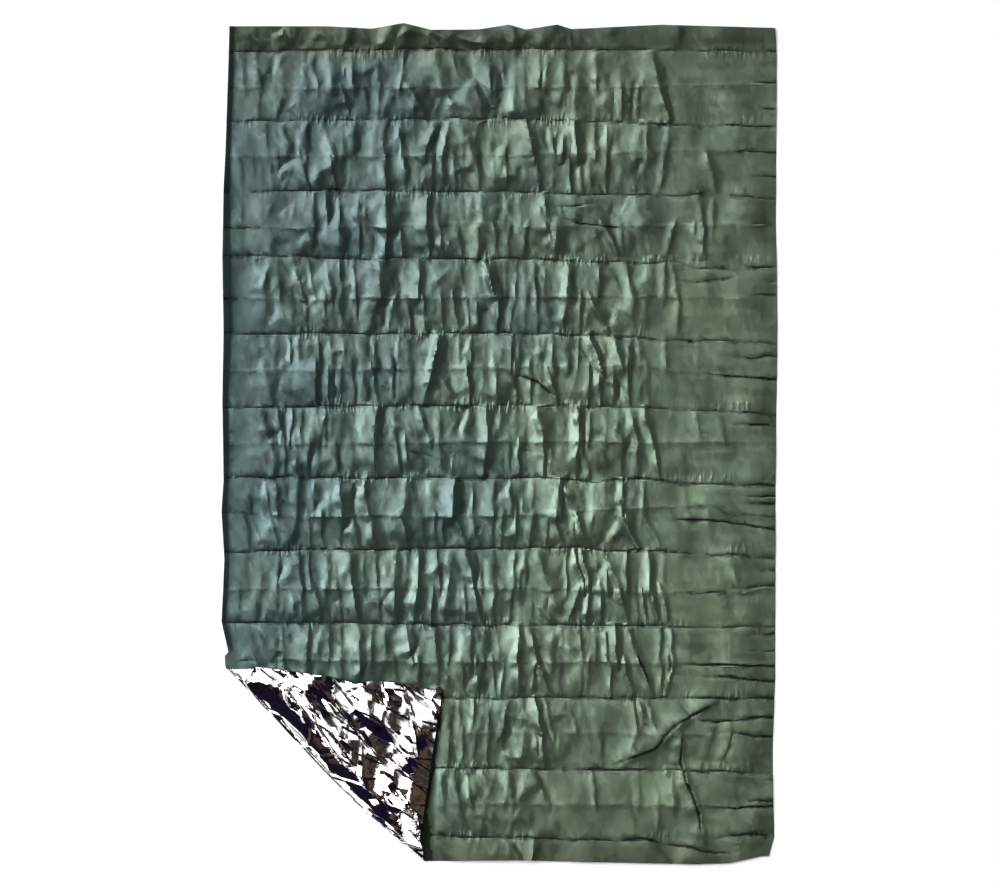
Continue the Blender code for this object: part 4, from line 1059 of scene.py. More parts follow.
class LaidFilm:
    """The film's shape as it lies: outline, creases, pleats, crumples and turned-over corner."""

    def __init__(self, columns: int, rows: int, corner: TurnedCorner) -> None:
        """Lay a grid of points out flat inside the uneven outline.

        Args:
            columns: how many points across.
            rows: how many points along.
            corner: the corner that is turned over.
        """
        share_x, share_y = np.meshgrid(np.linspace(0.0, 1.0, columns), np.linspace(0.0, 1.0, rows))
        first_x = (share_x - 0.5) * LAID_WIDTH
        first_y = (share_y - 0.5) * LAID_LENGTH
        self.x = along(LEFT_EDGE, first_y) * (1.0 - share_x) + along(RIGHT_EDGE, first_y) * share_x
        self.y = along(BOTTOM_EDGE, first_x) * (1.0 - share_y) + along(TOP_EDGE, first_x) * share_y
        self.corner = corner
        self.field = HeightField(wandered(self.x, WANDER_ACROSS, self.x, self.y),
                                 wandered(self.y, WANDER_ALONG, self.x, self.y))

    def pleat(self) -> None:
        """Raise the pleats of every band, and the folds that cross them."""
        add = self.field.add_fold
        for number, (top, bottom, pleats) in enumerate(BANDS):
            hold, overrun = (PINCH, HALF_PINCH), (PLEAT_OVERRUN, HALF_OVERRUN)
            if number % 2 == 0:
                hold, overrun = hold[::-1], overrun[::-1]
            for x_top, x_bottom, left, right, grade in pleats:
                add(Fold((x_top, top), (x_bottom, bottom), left, right, grade, hold, overrun))
            for fold in fine_pleats(top, bottom):
                add(fold)
        for fold in folds((*CROSS_FOLDS, *BRIGHT_FOLDS)):
            add(fold)

    def crease(self) -> None:
        """Press in the packet's creases and the short ones."""
        for crease in (*PACKET_CREASES, *HALF_CREASES, *SHORT_CREASES):
            self.field.add_crease(crease)

    def hills(self) -> Array:
        """Work out the shallow hills between the packet's valley creases.

        Returns:
            Their height at each point, in metres.
        """
        tops = [band[0] * MM for band in BANDS]
        hills = np.zeros_like(self.y)
        for upper, middle, lower in zip(tops[1::2], tops[2::2], tops[3::2]):
            y = self.field.y
            rise = np.where(y > middle, (upper - y) / (upper - middle), (y - lower) / (middle - lower))
            hills = np.maximum(hills, np.clip(rise, 0.0, 1.0) * PACKET_RISE)
        return hills * ease((HILLS_REACH - np.abs(self.x)) / HILLS_FADE)

    def corrugation(self) -> Array:
        """Work out the zigzag that the film makes between every two creases.

        Returns:
            Its height at each point, in metres and never below zero.
        """
        limits = np.array([band[0] for band in BANDS] + [BANDS[-1][1]], dtype=float) * MM
        numbers = np.arange(len(limits), dtype=float)
        place = 2.0 * np.interp(self.field.y, limits[::-1], numbers[::-1])
        place += ZIGZAG_SWAY * SWAY_WAVES.at(self.x, self.y) * np.sin(math.pi * place / 2.0) ** 2
        wander = ZIGZAG_WANDER * ZIGZAG_WAVES.at(self.x, self.y)

        def corner_height(column: Array, row: Array) -> Array:
            """Height of the zigzag's lattice corner at a column and a row, from 0 to 1."""
            share = np.choose(np.mod(row, 4.0).astype(int), ZIGZAG_SHARES)
            return share * (0.5 + 0.5 * lattice_draw(column, row, ZIGZAG_SEEDS[0]))

        across = (self.field.x + wander) / ZIGZAG_CELL
        return ZIGZAG_RISE * facet_heights(across, place, corner_height, ZIGZAG_SEEDS[1])

    def tuft_share(self) -> Array:
        """Find where short crinkles hang from the packet's creases.

        Returns:
            1 at a crease and 0 a little way off.
        """
        share = np.zeros_like(self.y)
        for band in BANDS[1::2]:
            share = np.maximum(share, ease(1.0 - np.abs(self.field.y - band[0] * MM) / TUFT_REACH))
        return share

    def crumple_share(self) -> Array:
        """Work out how crumpled the film is.

        Returns:
            1 in the pleated zone, less beside it and more in the crumpled patches.
        """
        rows = np.array(PLEATED_ZONE, dtype=float) * MM
        left = np.interp(self.y, rows[:, 0], rows[:, 1])
        right = np.interp(self.y, rows[:, 0], rows[:, 2])
        share = CALM_SHARE + (1.0 - CALM_SHARE) * (
            ease((self.x - left) / ZONE_FADE + 0.5) * ease((right - self.x) / ZONE_FADE + 0.5))
        for x, y, reach_x, reach_y, strength in CRUMPLED_PATCHES:
            away = np.hypot((self.x - x * MM) / (reach_x * MM), (self.y - y * MM) / (reach_y * MM))
            share += strength * ease(PATCH_REACH - away)
        return share

    def left_curl(self) -> Array:
        """How far the strip along the left edge stands up at each point, in metres."""
        from_left = (self.x - along(LEFT_EDGE, self.y)) / along(LEFT_CURL, self.y)
        return CURL_RISE * ease(1.0 - from_left) * (self.y > self.corner.start[1] * MM)

    def end_rise(self) -> Array:
        """How far the sheet's two ends stand up at each point, in metres."""
        far = FAR_RISE * ease((self.y - FAR_RISE_FROM) / FAR_RISE_LENGTH)
        return far + NEAR_RISE * ease((NEAR_RISE_FROM - self.y) / NEAR_RISE_LENGTH)

    def height(self) -> Array:
        """Work out the height of the laid film's upper side.

        Returns:
            Heights above the surface, in metres, without the film's own thickness.
        """
        self.pleat()
        self.crease()
        field = self.field
        crumple = sum(layer.at(field.x, field.y) for layer in CRUMPLES)
        ripple = RIPPLE * RIPPLE_WAVES.at(self.x, self.y) * ease((self.x - RIPPLE_FROM) / RIPPLE_FADE)
        wide = WIDE_SWELL * SWELL_WAVES.at(self.x, self.y)
        slopes = HeightField(self.x, self.y)
        for fold in folds(CORNER_SLOPES):
            slopes.add_fold(fold)
        share = self.crumple_share()
        zone = np.clip((share - CALM_SHARE) / (1.0 - CALM_SHARE), 0.0, 1.0)
        height = (FLOOR_GAP + field.raised + self.hills() + field.pressed + self.corrugation() * zone
                  + crumple * share + ripple + wide + self.left_curl() + self.end_rise())
        return np.maximum(height * self.calm_share() + slopes.raised, 0.0)

    def calm_share(self) -> Array:
        """Work out how calm the film is at the fold and under the turned corner.

        Returns:
            The share of the relief that is kept at each point.
        """
        before = self.corner.inside(self.x, self.y)
        covered = (ease((COVERED_FROM[0] * MM - self.x) / CALM_FADE)
                   * ease((COVERED_FROM[1] * MM - self.y) / CALM_FADE))
        return ease((before - CALM_WIDTH) / CALM_FADE + 0.5) * (1.0 - (1.0 - COVERED_SHARE) * covered)

    def points(self) -> Array:
        """Where every point of the upper side lies, with the corner turned over."""
        return self.corner.turn(self.x, self.y, FILM + self.height())

    def masks(self, points: Array) -> dict[str, Array]:
        """Work out where the finish of the film changes and where shade is painted on it.

        Args:
            points: where every point of the upper side lies.

        Returns:
            For each attribute of the sheet, its value at each point.
        """
        rough, lean = self.corner.masks(points[..., 0], points[..., 1])
        rough *= 1.0 - self.corner.band_smooth * self.corner.band(self.x, self.y)
        shadow = np.max([strip_share(self.x, self.y, ((x0, y0), (x1, y1)), half)
                         for x0, y0, x1, y1, half in EDGE_SHADOWS], axis=0)
        turned = self.corner.inside(self.x, self.y) < 0.0
        return {
            # painted shade along the creases, and the painted shadow of the turned corner's edge
            "creases": np.maximum(self.field.shade_lines, SHADOW_MARK * shadow),
            "tufts": self.tuft_share(),
            "lean": lean * turned,
            "crumple": np.where(turned, rough, self.crumple_share()),
        }


# ==== Materials ====
Socket = bpy.types.NodeSocket
Colour = tuple[float, float, float]
Triple = tuple[float, float, float]              # a direction, or a factor for each axis
Spread = tuple[float, float, float, float]       # from, to, and what is given at each of them

NEAR_PAINTED_LIGHT: Spread = (0.0, 0.7, 0.9, 1.0)        # painted light: how bright the film is painted along its length
FAR_PAINTED_LIGHT: Spread = (0.7, 1.9, 1.22, 0.93)
NEAR_LIT_TONE: Spread = (0.0, 0.9, 0.35, 0.0)        # painted light: how much of the second, lighter and warmer tone is added at the near end
RIGHT_RIM = (0.10, 0.03, 0.80)            # painted shade along an edge: distances from it, share
FAR_RIM = (0.11, 0.05, 0.75)
NEAR_RIM = (0.075, 0.035, 0.85)
LINE_MARKS: Spread = (0.35, 0.90, 0.0, 1.0)      # crease marks whose painted shade shows as broken dark lines
DEEP_MARKS: Spread = (1.15, 1.5, 0.0, 0.9)       # crease marks whose painted shade shows unbroken
SHADE_FULL_AT = 0.85                            # painted shade at which the coat is thinnest
SHADED_COAT = 0.1                           # share of the coat that is left there
LEAN_WAY = (1.85, -0.75, 0.0)             # the way the turned corner's panels tilt
GRAIN_WEIGHTS = (0.6, 0.25)               # of the drawn-out lines and of the fine grain in the relief
PLATE_WANDER = (22.0, 2.0, 0.006)         # how crinkle plates bend: noise scale, detail and reach
PLATE_RIM = 0.09                          # width of a plate's rim, in plates


class Side(Enum):
    """The two sides of the film, by material index."""

    GREEN = 0
    SILVER = 1


class Graph:
    """A node tree with short calls for adding and joining nodes."""

    def __init__(self, tree: bpy.types.NodeTree) -> None:
        """Work on the given node tree."""
        self.tree = tree

    def add(self, kind: str, inputs: dict | None = None, **settings: object) -> bpy.types.Node:
        """Add a node.

        Args:
            kind: the node's type name.
            inputs: values or sockets to put in, by input name or number.
            settings: the node's own properties.

        Returns:
            The new node.
        """
        node = self.tree.nodes.new(kind)
        for name, value in settings.items():
            setattr(node, name, value)
        for key, value in (inputs or {}).items():
            self.put(value, node.inputs[key])
        return node

    def put(self, value: object, socket: Socket) -> None:
        """Link a socket to an input, or set a plain value in it.

        Args:
            value: the socket or the value.
            socket: the input.
        """
        if isinstance(value, Socket):
            self.tree.links.new(value, socket)
        else:
            socket.default_value = value

    def math(self, operation: str, *numbers: object) -> Socket:
        """Join numbers one after another with math nodes.

        Args:
            operation: what each node does.
            numbers: the numbers or sockets, in order.

        Returns:
            The result.
        """
        total = numbers[0]
        for number in numbers[1:]:
            total = self.add("ShaderNodeMath", {0: total, 1: number}, operation=operation).outputs[0]
        return total

    def vector(self, operation: str, first: object, second: object) -> Socket:
        """Join two vectors with a vector math node and return the vector that it gives."""
        return self.add("ShaderNodeVectorMath", {0: first, 1: second}, operation=operation).outputs[0]

    def scaled(self, vector: object, factor: object) -> Socket:
        """A vector or colour times one number."""
        return self.add("ShaderNodeVectorMath", {0: vector, "Scale": factor}, operation="SCALE").outputs[0]

    def share_towards(self, direction: object, way: Triple) -> Socket:
        """How far a direction points a given way, from -1 to 1."""
        return self.add("ShaderNodeVectorMath", {0: direction, 1: way}, operation="DOT_PRODUCT").outputs[1]

    def unit(self, vector: object) -> Socket:
        """A vector brought to length 1."""
        return self.add("ShaderNodeVectorMath", {0: vector}, operation="NORMALIZE").outputs[0]

    def parts(self, vector: object) -> tuple[Socket, ...]:
        """The x, y and z of a vector."""
        return tuple(self.add("ShaderNodeSeparateXYZ", {0: vector}).outputs)

    def blend(self, factor: object, first: object, second: object) -> Socket:
        """Blend two colours."""
        colours = {"Factor": factor, 6: first, 7: second}
        return self.add("ShaderNodeMix", colours, data_type="RGBA").outputs[2]

    def attribute(self, name: str) -> Socket:
        """The value that the mesh carries under a name."""
        return self.add("ShaderNodeAttribute", attribute_name=name).outputs["Fac"]

    def spread(self, value: object, low: float, high: float, to_low: float, to_high: float) -> Socket:
        """Map a number from one range to another, held inside it."""
        ends = {"Value": value, "From Min": low, "From Max": high, "To Min": to_low, "To Max": to_high}
        return self.add("ShaderNodeMapRange", ends).outputs[0]

    def noise(self, vector: object, scale: float, detail: float = 3.0, output: int = 0) -> Socket:
        """Fractal noise at a vector; output 0 is its value and 1 its colour."""
        sockets = {"Vector": vector, "Scale": scale, "Detail": detail}
        return self.add("ShaderNodeTexNoise", sockets).outputs[output]


@dataclass(frozen=True)
class NoiseMask:
    """Soft patches of noise, given as a number over the sheet.

    Attributes:
        scale: how many patches there are in a metre.
        detail: how many finer layers the noise has.
        limits: noise values between which the number changes.
        gives: the number at those values and past them.
        stretch: how much closer the patches are across the sheet, along it and upwards.
    """

    scale: float
    detail: float = 3.0
    limits: tuple[float, float] = (0.0, 1.0)
    gives: tuple[float, float] = (0.0, 1.0)
    stretch: Triple = (1.0, 1.0, 1.0)

    def raw(self, graph: Graph, place: object) -> Socket:
        """Add the noise itself and return its value."""
        return graph.noise(graph.vector("MULTIPLY", place, self.stretch), self.scale, self.detail)

    def over(self, graph: Graph, place: object) -> Socket:
        """Add the noise, mapped to the numbers that it gives, and return the result."""
        return graph.spread(self.raw(graph, place), *self.limits, *self.gives)


TONE_PATCHES = NoiseMask(4.0, limits=(0.35, 0.65), gives=(-0.2, 0.2))
# Noise that breaks up the painted shade lines along the creases.
LINE_BREAKS = NoiseMask(9.0, 2.0, (0.40, 0.60), (0.25, 1.0))
LINE_GRAIN = NoiseMask(40.0, limits=(0.42, 0.62), gives=(0.1, 0.85))
GLOSS_PATCHES = NoiseMask(14.0, 5.0, (0.3, 0.7))
DRAWN_LINES = NoiseMask(1.0, 2.0, stretch=(150.0, 12.0, 1.0))
FINE_GRAIN = NoiseMask(260.0)
TUFT_STROKES = NoiseMask(1.0, 1.0, (0.42, 0.60), stretch=(75.0, 14.0, 1.0))
TUFT_PATCHES = NoiseMask(11.0, 1.0, (0.50, 0.62), (0.1, 1.0))
FLOOR_PATCHES = NoiseMask(3.0)


def group_tree(name: str, inputs: dict[str, str], outputs: dict[str, str]) -> bpy.types.NodeTree:
    """Start a new node group.

    Args:
        name: its name.
        inputs: socket type of each input, by name.
        outputs: socket type of each output, by name.

    Returns:
        The group's empty node tree.
    """
    tree = bpy.data.node_groups.new(name, "ShaderNodeTree")
    for in_out, sockets in (("INPUT", inputs), ("OUTPUT", outputs)):
        for socket, kind in sockets.items():
            tree.interface.new_socket(socket, in_out=in_out, socket_type=kind)
    return tree


def crinkle_group() -> bpy.types.NodeTree:
    """Make the node group for crinkled film: small plates that each tip their own way.

    Returns:
        A group that turns a place on the sheet into a tipped normal and a mask of the plates' rims.
    """
    number, vector = "NodeSocketFloat", "NodeSocketVector"
    tree = group_tree(
        "film_crinkle", {"Vector": vector, "Plates per metre": number, "Tip": number},
        {"Normal": vector, "Crease": number})
    graph = Graph(tree)
    place, plates_per_metre, tip = graph.add("NodeGroupInput").outputs[:3]
    result = graph.add("NodeGroupOutput")
    scale, detail, reach = PLATE_WANDER
    wander = graph.vector("SUBTRACT", graph.noise(place, scale, detail, output=1), (0.5, 0.5, 0.5))
    bent = graph.vector("ADD", graph.vector("MULTIPLY", wander, (reach, reach, 0.0)), place)
    cells = {"Vector": bent, "Scale": plates_per_metre, "Randomness": 1.0}
    plates = graph.add("ShaderNodeTexVoronoi", cells, voronoi_dimensions="2D")
    edges = graph.add("ShaderNodeTexVoronoi", cells, voronoi_dimensions="2D", feature="DISTANCE_TO_EDGE")
    centred = graph.vector("SUBTRACT", plates.outputs["Color"], (0.5, 0.5, 0.5))
    normal = graph.add("ShaderNodeNewGeometry").outputs["Normal"]
    tipped = graph.vector("ADD", normal, graph.scaled(centred, tip))
    graph.put(graph.unit(tipped), result.inputs["Normal"])
    rim = graph.spread(edges.outputs["Distance"], 0.0, PLATE_RIM, 1.0, 0.0)
    graph.put(rim, result.inputs["Crease"])
    return tree


@dataclass(frozen=True)
class FilmFinish:
    """How one side of the film looks.

    Attributes:
        name: name of the material.
        lit_tones: two base colours that the surface wanders between from left to right; they paint the
            light, cooler and darker on the left, warmer and lighter on the right.
        painted_shade: colour of the shade painted along the creases and of the corner edge's painted
            shadow.
        edge: colour of the painted shade that the right, far and near edges turn to.
        roughness: least and most roughness.
        metallic: how metallic the surface is.
        coat: how much clear gloss lies over it.
        plates: crinkle plates in a metre, coarse and fine.
        tip: how far the coarse and fine plates tip.
        calm_tip: share of that tip outside the crumpled zone.
        tuft_depth: depth of the crinkles at the creases, in units of bump.
        rim_depth: height of the rims between plates, in units of bump.
        bump: depth of the fine relief, in metres.
        lean: how strongly the panels of the turned corner tilt.
        lie: direction that the plates are drawn out in, in degrees from the sheet's length.
        narrow: width of a plate for each unit of its length.
    """

    name: str
    lit_tones: tuple[Colour, Colour]
    painted_shade: Colour
    edge: Colour
    roughness: tuple[float, float]
    metallic: float
    coat: float
    plates: tuple[float, float]
    tip: tuple[float, float]
    calm_tip: float
    tuft_depth: float
    rim_depth: float
    bump: float
    lean: float
    lie: float
    narrow: float

    def tone(self, graph: Graph, flat: object) -> Socket:
        """Add the film's colour before the painted shade of the creases, with its painted light: lighter
        towards the right and the near end, darker at the far end, and painted shade along the right, far
        and near edges.

        Args:
            graph: the material's nodes.
            flat: place on the flat sheet, in metres.

        Returns:
            The colour.
        """
        across, length, _ = graph.parts(flat)
        wide = graph.math("ADD", graph.spread(across, 0.0, SHEET_WIDTH, 0.0, 1.0),
                          TONE_PATCHES.over(graph, flat), graph.spread(length, *NEAR_LIT_TONE))
        tone = graph.blend(wide, (*self.lit_tones[0], 1.0), (*self.lit_tones[1], 1.0))
        lift = graph.math("MULTIPLY", graph.spread(length, *NEAR_PAINTED_LIGHT), graph.spread(length, *FAR_PAINTED_LIGHT))
        from_right = graph.math("SUBTRACT", SHEET_WIDTH, across)
        from_far = graph.math("SUBTRACT", SHEET_LENGTH, length)
        edges = ((from_right, RIGHT_RIM), (from_far, FAR_RIM), (length, NEAR_RIM))
        rims = [graph.spread(away, begins, full, 0.0, share) for away, (begins, full, share) in edges]
        return graph.blend(graph.math("MAXIMUM", *rims), graph.scaled(tone, lift), (*self.edge, 1.0))

    def painted_shade_share(self, graph: Graph, flat: object) -> Socket:
        """Work out the shade painted along the creases and the painted shadow beside the corner's edge.

        Args:
            graph: the material's nodes.
            flat: place on the flat sheet, in metres.

        Returns:
            The painted shade, 0 where there is none.
        """
        marks = graph.attribute("creases")
        painted_shade = graph.math("MULTIPLY", graph.spread(marks, *LINE_MARKS), LINE_BREAKS.over(graph, flat),
                          LINE_GRAIN.over(graph, flat))
        return graph.math("MAXIMUM", painted_shade, graph.spread(marks, *DEEP_MARKS))

    def crinkles(self, graph: Graph, flat: object,
                 crinkle: bpy.types.NodeTree) -> tuple[Socket, Socket]:
        """Lay coarse and fine crinkle plates over the film.

        Args:
            graph: the material's nodes.
            flat: place on the flat sheet, in metres.
            crinkle: the shared crinkle group.

        Returns:
            The tipped normal, and the mask of the coarse plates' rims.
        """
        turn = (0.0, 0.0, math.radians(self.lie))
        turned = graph.add("ShaderNodeMapping", {"Vector": flat, "Rotation": turn}).outputs[0]
        drawn = graph.vector("MULTIPLY", turned, (1.0, self.narrow, 1.0))
        crumple = graph.attribute("crumple")
        layers = []
        for plates, tip in zip(self.plates, self.tip):
            tips = graph.spread(crumple, 0.0, 1.0, tip * self.calm_tip, tip)
            layer = graph.add("ShaderNodeGroup", node_tree=crinkle)
            for name, value in (("Vector", drawn), ("Plates per metre", plates), ("Tip", tips)):
                graph.put(value, layer.inputs[name])
            layers.append(layer)
        coarse, fine = layers
        both = graph.vector("ADD", coarse.outputs["Normal"], fine.outputs["Normal"])
        leaning = graph.scaled(LEAN_WAY, graph.math("MULTIPLY", graph.attribute("lean"), self.lean))
        return graph.unit(graph.vector("ADD", both, leaning)), coarse.outputs["Crease"]

    def relief(self, graph: Graph, flat: object, rim: object) -> Socket:
        """Work out the height of the film's finest relief.

        Args:
            graph: the material's nodes.
            flat: place on the flat sheet, in metres.
            rim: mask of the crinkle plates' rims.

        Returns:
            The height, in units of bump.
        """
        strokes = graph.math("MULTIPLY", TUFT_STROKES.over(graph, flat), TUFT_PATCHES.over(graph, flat))
        near = graph.math("MULTIPLY", graph.attribute("tufts"), graph.attribute("crumple"))
        lines, grain = DRAWN_LINES.raw(graph, flat), FINE_GRAIN.raw(graph, flat)
        layers = ((lines, GRAIN_WEIGHTS[0]), (grain, GRAIN_WEIGHTS[1]),
                  (graph.math("MULTIPLY", near, strokes), self.tuft_depth), (rim, self.rim_depth))
        return graph.math("ADD", *(graph.math("MULTIPLY", layer, depth) for layer, depth in layers))

    def build(self, crinkle: bpy.types.NodeTree) -> bpy.types.Material:
        """Make the material.

        Args:
            crinkle: the shared crinkle group.

        Returns:
            The material, with all its colour, roughness and relief from nodes.
        """
        material = bpy.data.materials.new(self.name)
        material.use_nodes = True
        graph = Graph(material.node_tree)
        flat = graph.vector(
            "MULTIPLY", graph.add("ShaderNodeUVMap").outputs["UV"], (SHEET_WIDTH, SHEET_LENGTH, 0.0))
        painted_shade = self.painted_shade_share(graph, flat)
        normal, rim = self.crinkles(graph, flat, crinkle)
        height = self.relief(graph, flat, rim)
        bump = graph.add("ShaderNodeBump", {
            "Height": height, "Distance": self.bump, "Strength": 1.0, "Normal": normal})
        gloss = GLOSS_PATCHES.raw(graph, flat)
        looks = {
            # the base colour carries the painted light and the painted shade
            "Base Color": graph.blend(painted_shade, self.tone(graph, flat), (*self.painted_shade, 1.0)),
            "Metallic": self.metallic,
            "Roughness": graph.spread(gloss, *GLOSS_PATCHES.limits, *self.roughness),
            # the coat thins under the painted shade, so that it stays dark
            "Coat Weight": graph.spread(painted_shade, 0.0, SHADE_FULL_AT, self.coat, SHADED_COAT * self.coat),
            "Coat Roughness": self.roughness[0],
            "Normal": bump.outputs[0],
        }
        surface = material.node_tree.nodes["Principled BSDF"]
        for name, value in looks.items():
            graph.put(value, surface.inputs[name])
        return material


# Each finish's two tones paint the light across the sheet, and its darker colours paint shade along the
# creases and edges.
FINISHES = {
    Side.GREEN: FilmFinish(
        name="green_coat", lit_tones=((0.030, 0.068, 0.064), (0.103, 0.152, 0.089)),
        painted_shade=(0.008, 0.011, 0.007), edge=(0.048, 0.068, 0.034), roughness=(0.28, 0.36), metallic=0.76,
        coat=0.8, plates=(30.0, 80.0), tip=(0.14, 0.12), calm_tip=0.7, tuft_depth=12.0, rim_depth=0.0,
        bump=0.0002, lean=0.0, lie=0.0, narrow=0.5),
    Side.SILVER: FilmFinish(
        name="bright_silver", lit_tones=((0.90, 0.90, 0.90), (0.94, 0.94, 0.93)), painted_shade=(0.75, 0.75, 0.74),
        edge=(0.90, 0.90, 0.90), roughness=(0.01, 0.04), metallic=1.0, coat=0.0, plates=(24.0, 80.0),
        tip=(0.52, 0.75), calm_tip=0.15, tuft_depth=0.0, rim_depth=5.0, bump=0.0002, lean=1.0, lie=-45.0,
        narrow=0.4),
}


# ==== The blanket ====
def select_only(piece: bpy.types.Object) -> None:
    """Select one object alone and make it the active one.

    Args:
        piece: the object.
    """
    bpy.ops.object.select_all(action="DESELECT")
    piece.select_set(True)
    bpy.context.view_layer.objects.active = piece


def apply_modifier(piece: bpy.types.Object, name: str) -> None:
    """Apply one modifier of an object."""
    select_only(piece)
    bpy.ops.object.modifier_apply(modifier=name)


@dataclass(frozen=True)
class Blanket:
    """The blanket as it lies: one thin sheet, green above and silver below.

    Attributes:
        name: name of the piece.
        width: its width when flat, in metres.
        length: its length when flat.
        film: its thickness.
        step: distance between the points that it is shaped from.
        triangles: how many triangles are left on each of its sides.
        crisp_angle: edges sharper than this many degrees are drawn crisp.
        corner: the corner that is turned over.
    """

    name: str = "laid_blanket"
    width: float = SHEET_WIDTH
    length: float = SHEET_LENGTH
    film: float = FILM
    step: float = 3.6 * MM
    triangles: int = 94_000
    crisp_angle: float = 18.0
    corner: TurnedCorner = TurnedCorner()

    def shape(self) -> bpy.types.Object:
        """Lay a fine grid out in the blanket's shape.

        Returns:
            The sheet without thickness, carrying the masks of its finish.
        """
        columns, rows = round(self.width / self.step), round(self.length / self.step)
        bpy.ops.object.select_all(action="DESELECT")
        bpy.ops.mesh.primitive_grid_add(x_subdivisions=columns, y_subdivisions=rows, size=1.0)
        sheet = bpy.context.active_object
        sheet.name = sheet.data.name = self.name
        film = LaidFilm(columns + 1, rows + 1, self.corner)
        points = film.points()
        sheet.data.vertices.foreach_set("co", points.ravel())
        for name, mask in film.masks(points).items():
            sheet.data.attributes.new(name, "FLOAT", "POINT").data.foreach_set("value", mask.ravel())
        return sheet

    def thin_out(self, sheet: bpy.types.Object) -> None:
        """Drop triangles where the sheet is flat, and keep its underside off the floor.

        Args:
            sheet: the sheet without thickness.
        """
        thinning = sheet.modifiers.new("thin out", "DECIMATE")
        thinning.ratio = self.triangles / (2 * len(sheet.data.polygons))
        apply_modifier(sheet, thinning.name)
        places = np.empty(len(sheet.data.vertices) * 3)
        sheet.data.vertices.foreach_get("co", places)
        places = places.reshape(-1, 3)
        places[:, 2] = np.maximum(places[:, 2], self.film)
        sheet.data.vertices.foreach_set("co", places.ravel())

    def thicken(self, sheet: bpy.types.Object) -> None:
        """Give the sheet its thickness and its silver side.

        Args:
            sheet: the dressed sheet.
        """
        thickness = sheet.modifiers.new("film", "SOLIDIFY")
        thickness.thickness = self.film
        thickness.offset = -1.0
        thickness.material_offset = Side.SILVER.value
        apply_modifier(sheet, thickness.name)
        select_only(sheet)
        bpy.ops.object.shade_smooth_by_angle(angle=math.radians(self.crisp_angle))

    def build(self) -> bpy.types.Object:
        """Shape the sheet, dress it and give it its thickness.

        Returns:
            The finished sheet.
        """
        sheet = self.shape()
        self.thin_out(sheet)
        crinkle = crinkle_group()
        for side in Side:
            sheet.data.materials.append(FINISHES[side].build(crinkle))
        self.thicken(sheet)
        return sheet


# ==== Studio ====
@dataclass(frozen=True)
class SoftLight:
    """A rectangular soft light that faces the middle of the blanket.

    Attributes:
        name: name of the light.
        place: where it hangs, in metres.
        size: its width and height, in metres.
        watts: its power.
        colour: its colour.
    """

    name: str
    place: Triple
    size: tuple[float, float]
    watts: float
    colour: Colour

    def hang(self) -> None:
        """Put the light in the scene."""
        lamp = bpy.data.lights.new(self.name, "AREA")
        lamp.shape = "RECTANGLE"
        lamp.size, lamp.size_y = self.size
        lamp.energy = self.watts
        lamp.color = self.colour
        holder = bpy.data.objects.new(self.name, lamp)
        bpy.context.scene.collection.objects.link(holder)
        holder.location = self.place
        holder.rotation_euler = (-Vector(self.place)).to_track_quat("-Z", "Y").to_euler()


@dataclass(frozen=True)
class Room:
    """The painted surroundings that the film mirrors.

    Attributes:
        light_side: the side that their light comes from.
        radiance: share of a direction towards that side, and the radiance there.
        shade_side: the side where the room is dark.
        shade: share towards that side where the dark begins and is full, and its depth.
        patches: windows and furniture, as shares of the radiance.
        horizon: pale walls all round, low down.
        wall_top: upward share of a direction where the walls begin and stop fading.
        low_room: upward shares between which the room brightens, and how dim it is below.
    """

    light_side: Triple = (-0.94, 0.34, 0.0)
    radiance: tuple[tuple[float, Colour], ...] = (
        (-1.00, (0.007, 0.005, 0.014)), (-0.70, (0.009, 0.007, 0.014)), (-0.50, (0.085, 0.055, 0.034)),
        (-0.32, (0.030, 0.024, 0.026)), (-0.17, (0.052, 0.047, 0.049)), (-0.09, (0.22, 0.22, 0.21)),
        (-0.02, (0.74, 0.76, 0.72)), (0.09, (1.10, 1.13, 1.08)), (0.22, (1.84, 1.86, 1.90)),
        (0.40, (4.7, 4.6, 5.0)), (1.00, (4.5, 4.4, 4.8)),
    )
    shade_side: Triple = (-0.35, -0.94, 0.0)
    shade: tuple[float, float, float] = (0.20, 0.33, -1.12)
    patches: NoiseMask = NoiseMask(6.0, 1.0, (0.46, 0.52), (0.78, 1.25))
    horizon: Colour = (1.8, 1.8, 1.8)
    wall_top: tuple[float, float] = (0.08, 0.30)
    low_room: tuple[float, float, float] = (0.36, 0.62, 0.20)

    def glow(self, graph: Graph, direction: object) -> Socket:
        """Work out the radiance from the light side to the dark one.

        Args:
            graph: the world's nodes.
            direction: the direction that is looked in.

        Returns:
            The radiance, as a colour.
        """
        begins, full, depth = self.shade
        dark = graph.spread(graph.share_towards(direction, self.shade_side), begins, full, 0.0, depth)
        share = graph.math("ADD", graph.share_towards(direction, self.light_side), dark)
        ramp = graph.add("ShaderNodeValToRGB", {0: graph.spread(share, -1.0, 1.0, 0.0, 1.0)})
        ramp.color_ramp.interpolation = "EASE"
        stops = ramp.color_ramp.elements
        stops.remove(stops[1])
        for towards, colour in self.radiance[1:]:
            stops.new((towards + 1.0) / 2.0).color = (*colour, 1.0)
        stops[0].position, stops[0].color = 0.0, (*self.radiance[0][1], 1.0)
        return ramp.outputs["Color"]

    def paint(self) -> None:
        """Make the surroundings the scene's world."""
        world = bpy.data.worlds.new("surroundings")
        world.use_nodes = True
        graph = Graph(world.node_tree)
        direction = graph.add("ShaderNodeTexCoord").outputs["Generated"]
        upward = graph.parts(direction)[2]
        broken = graph.scaled(self.glow(graph, direction), self.patches.over(graph, direction))
        dimmed = graph.scaled(broken, graph.spread(upward, *self.low_room, 1.0))
        above = graph.spread(upward, *self.wall_top, 0.0, 1.0)
        light = graph.blend(above, (*self.horizon, 1.0), dimmed)
        graph.put(light, world.node_tree.nodes["Background"].inputs["Color"])
        bpy.context.scene.world = world


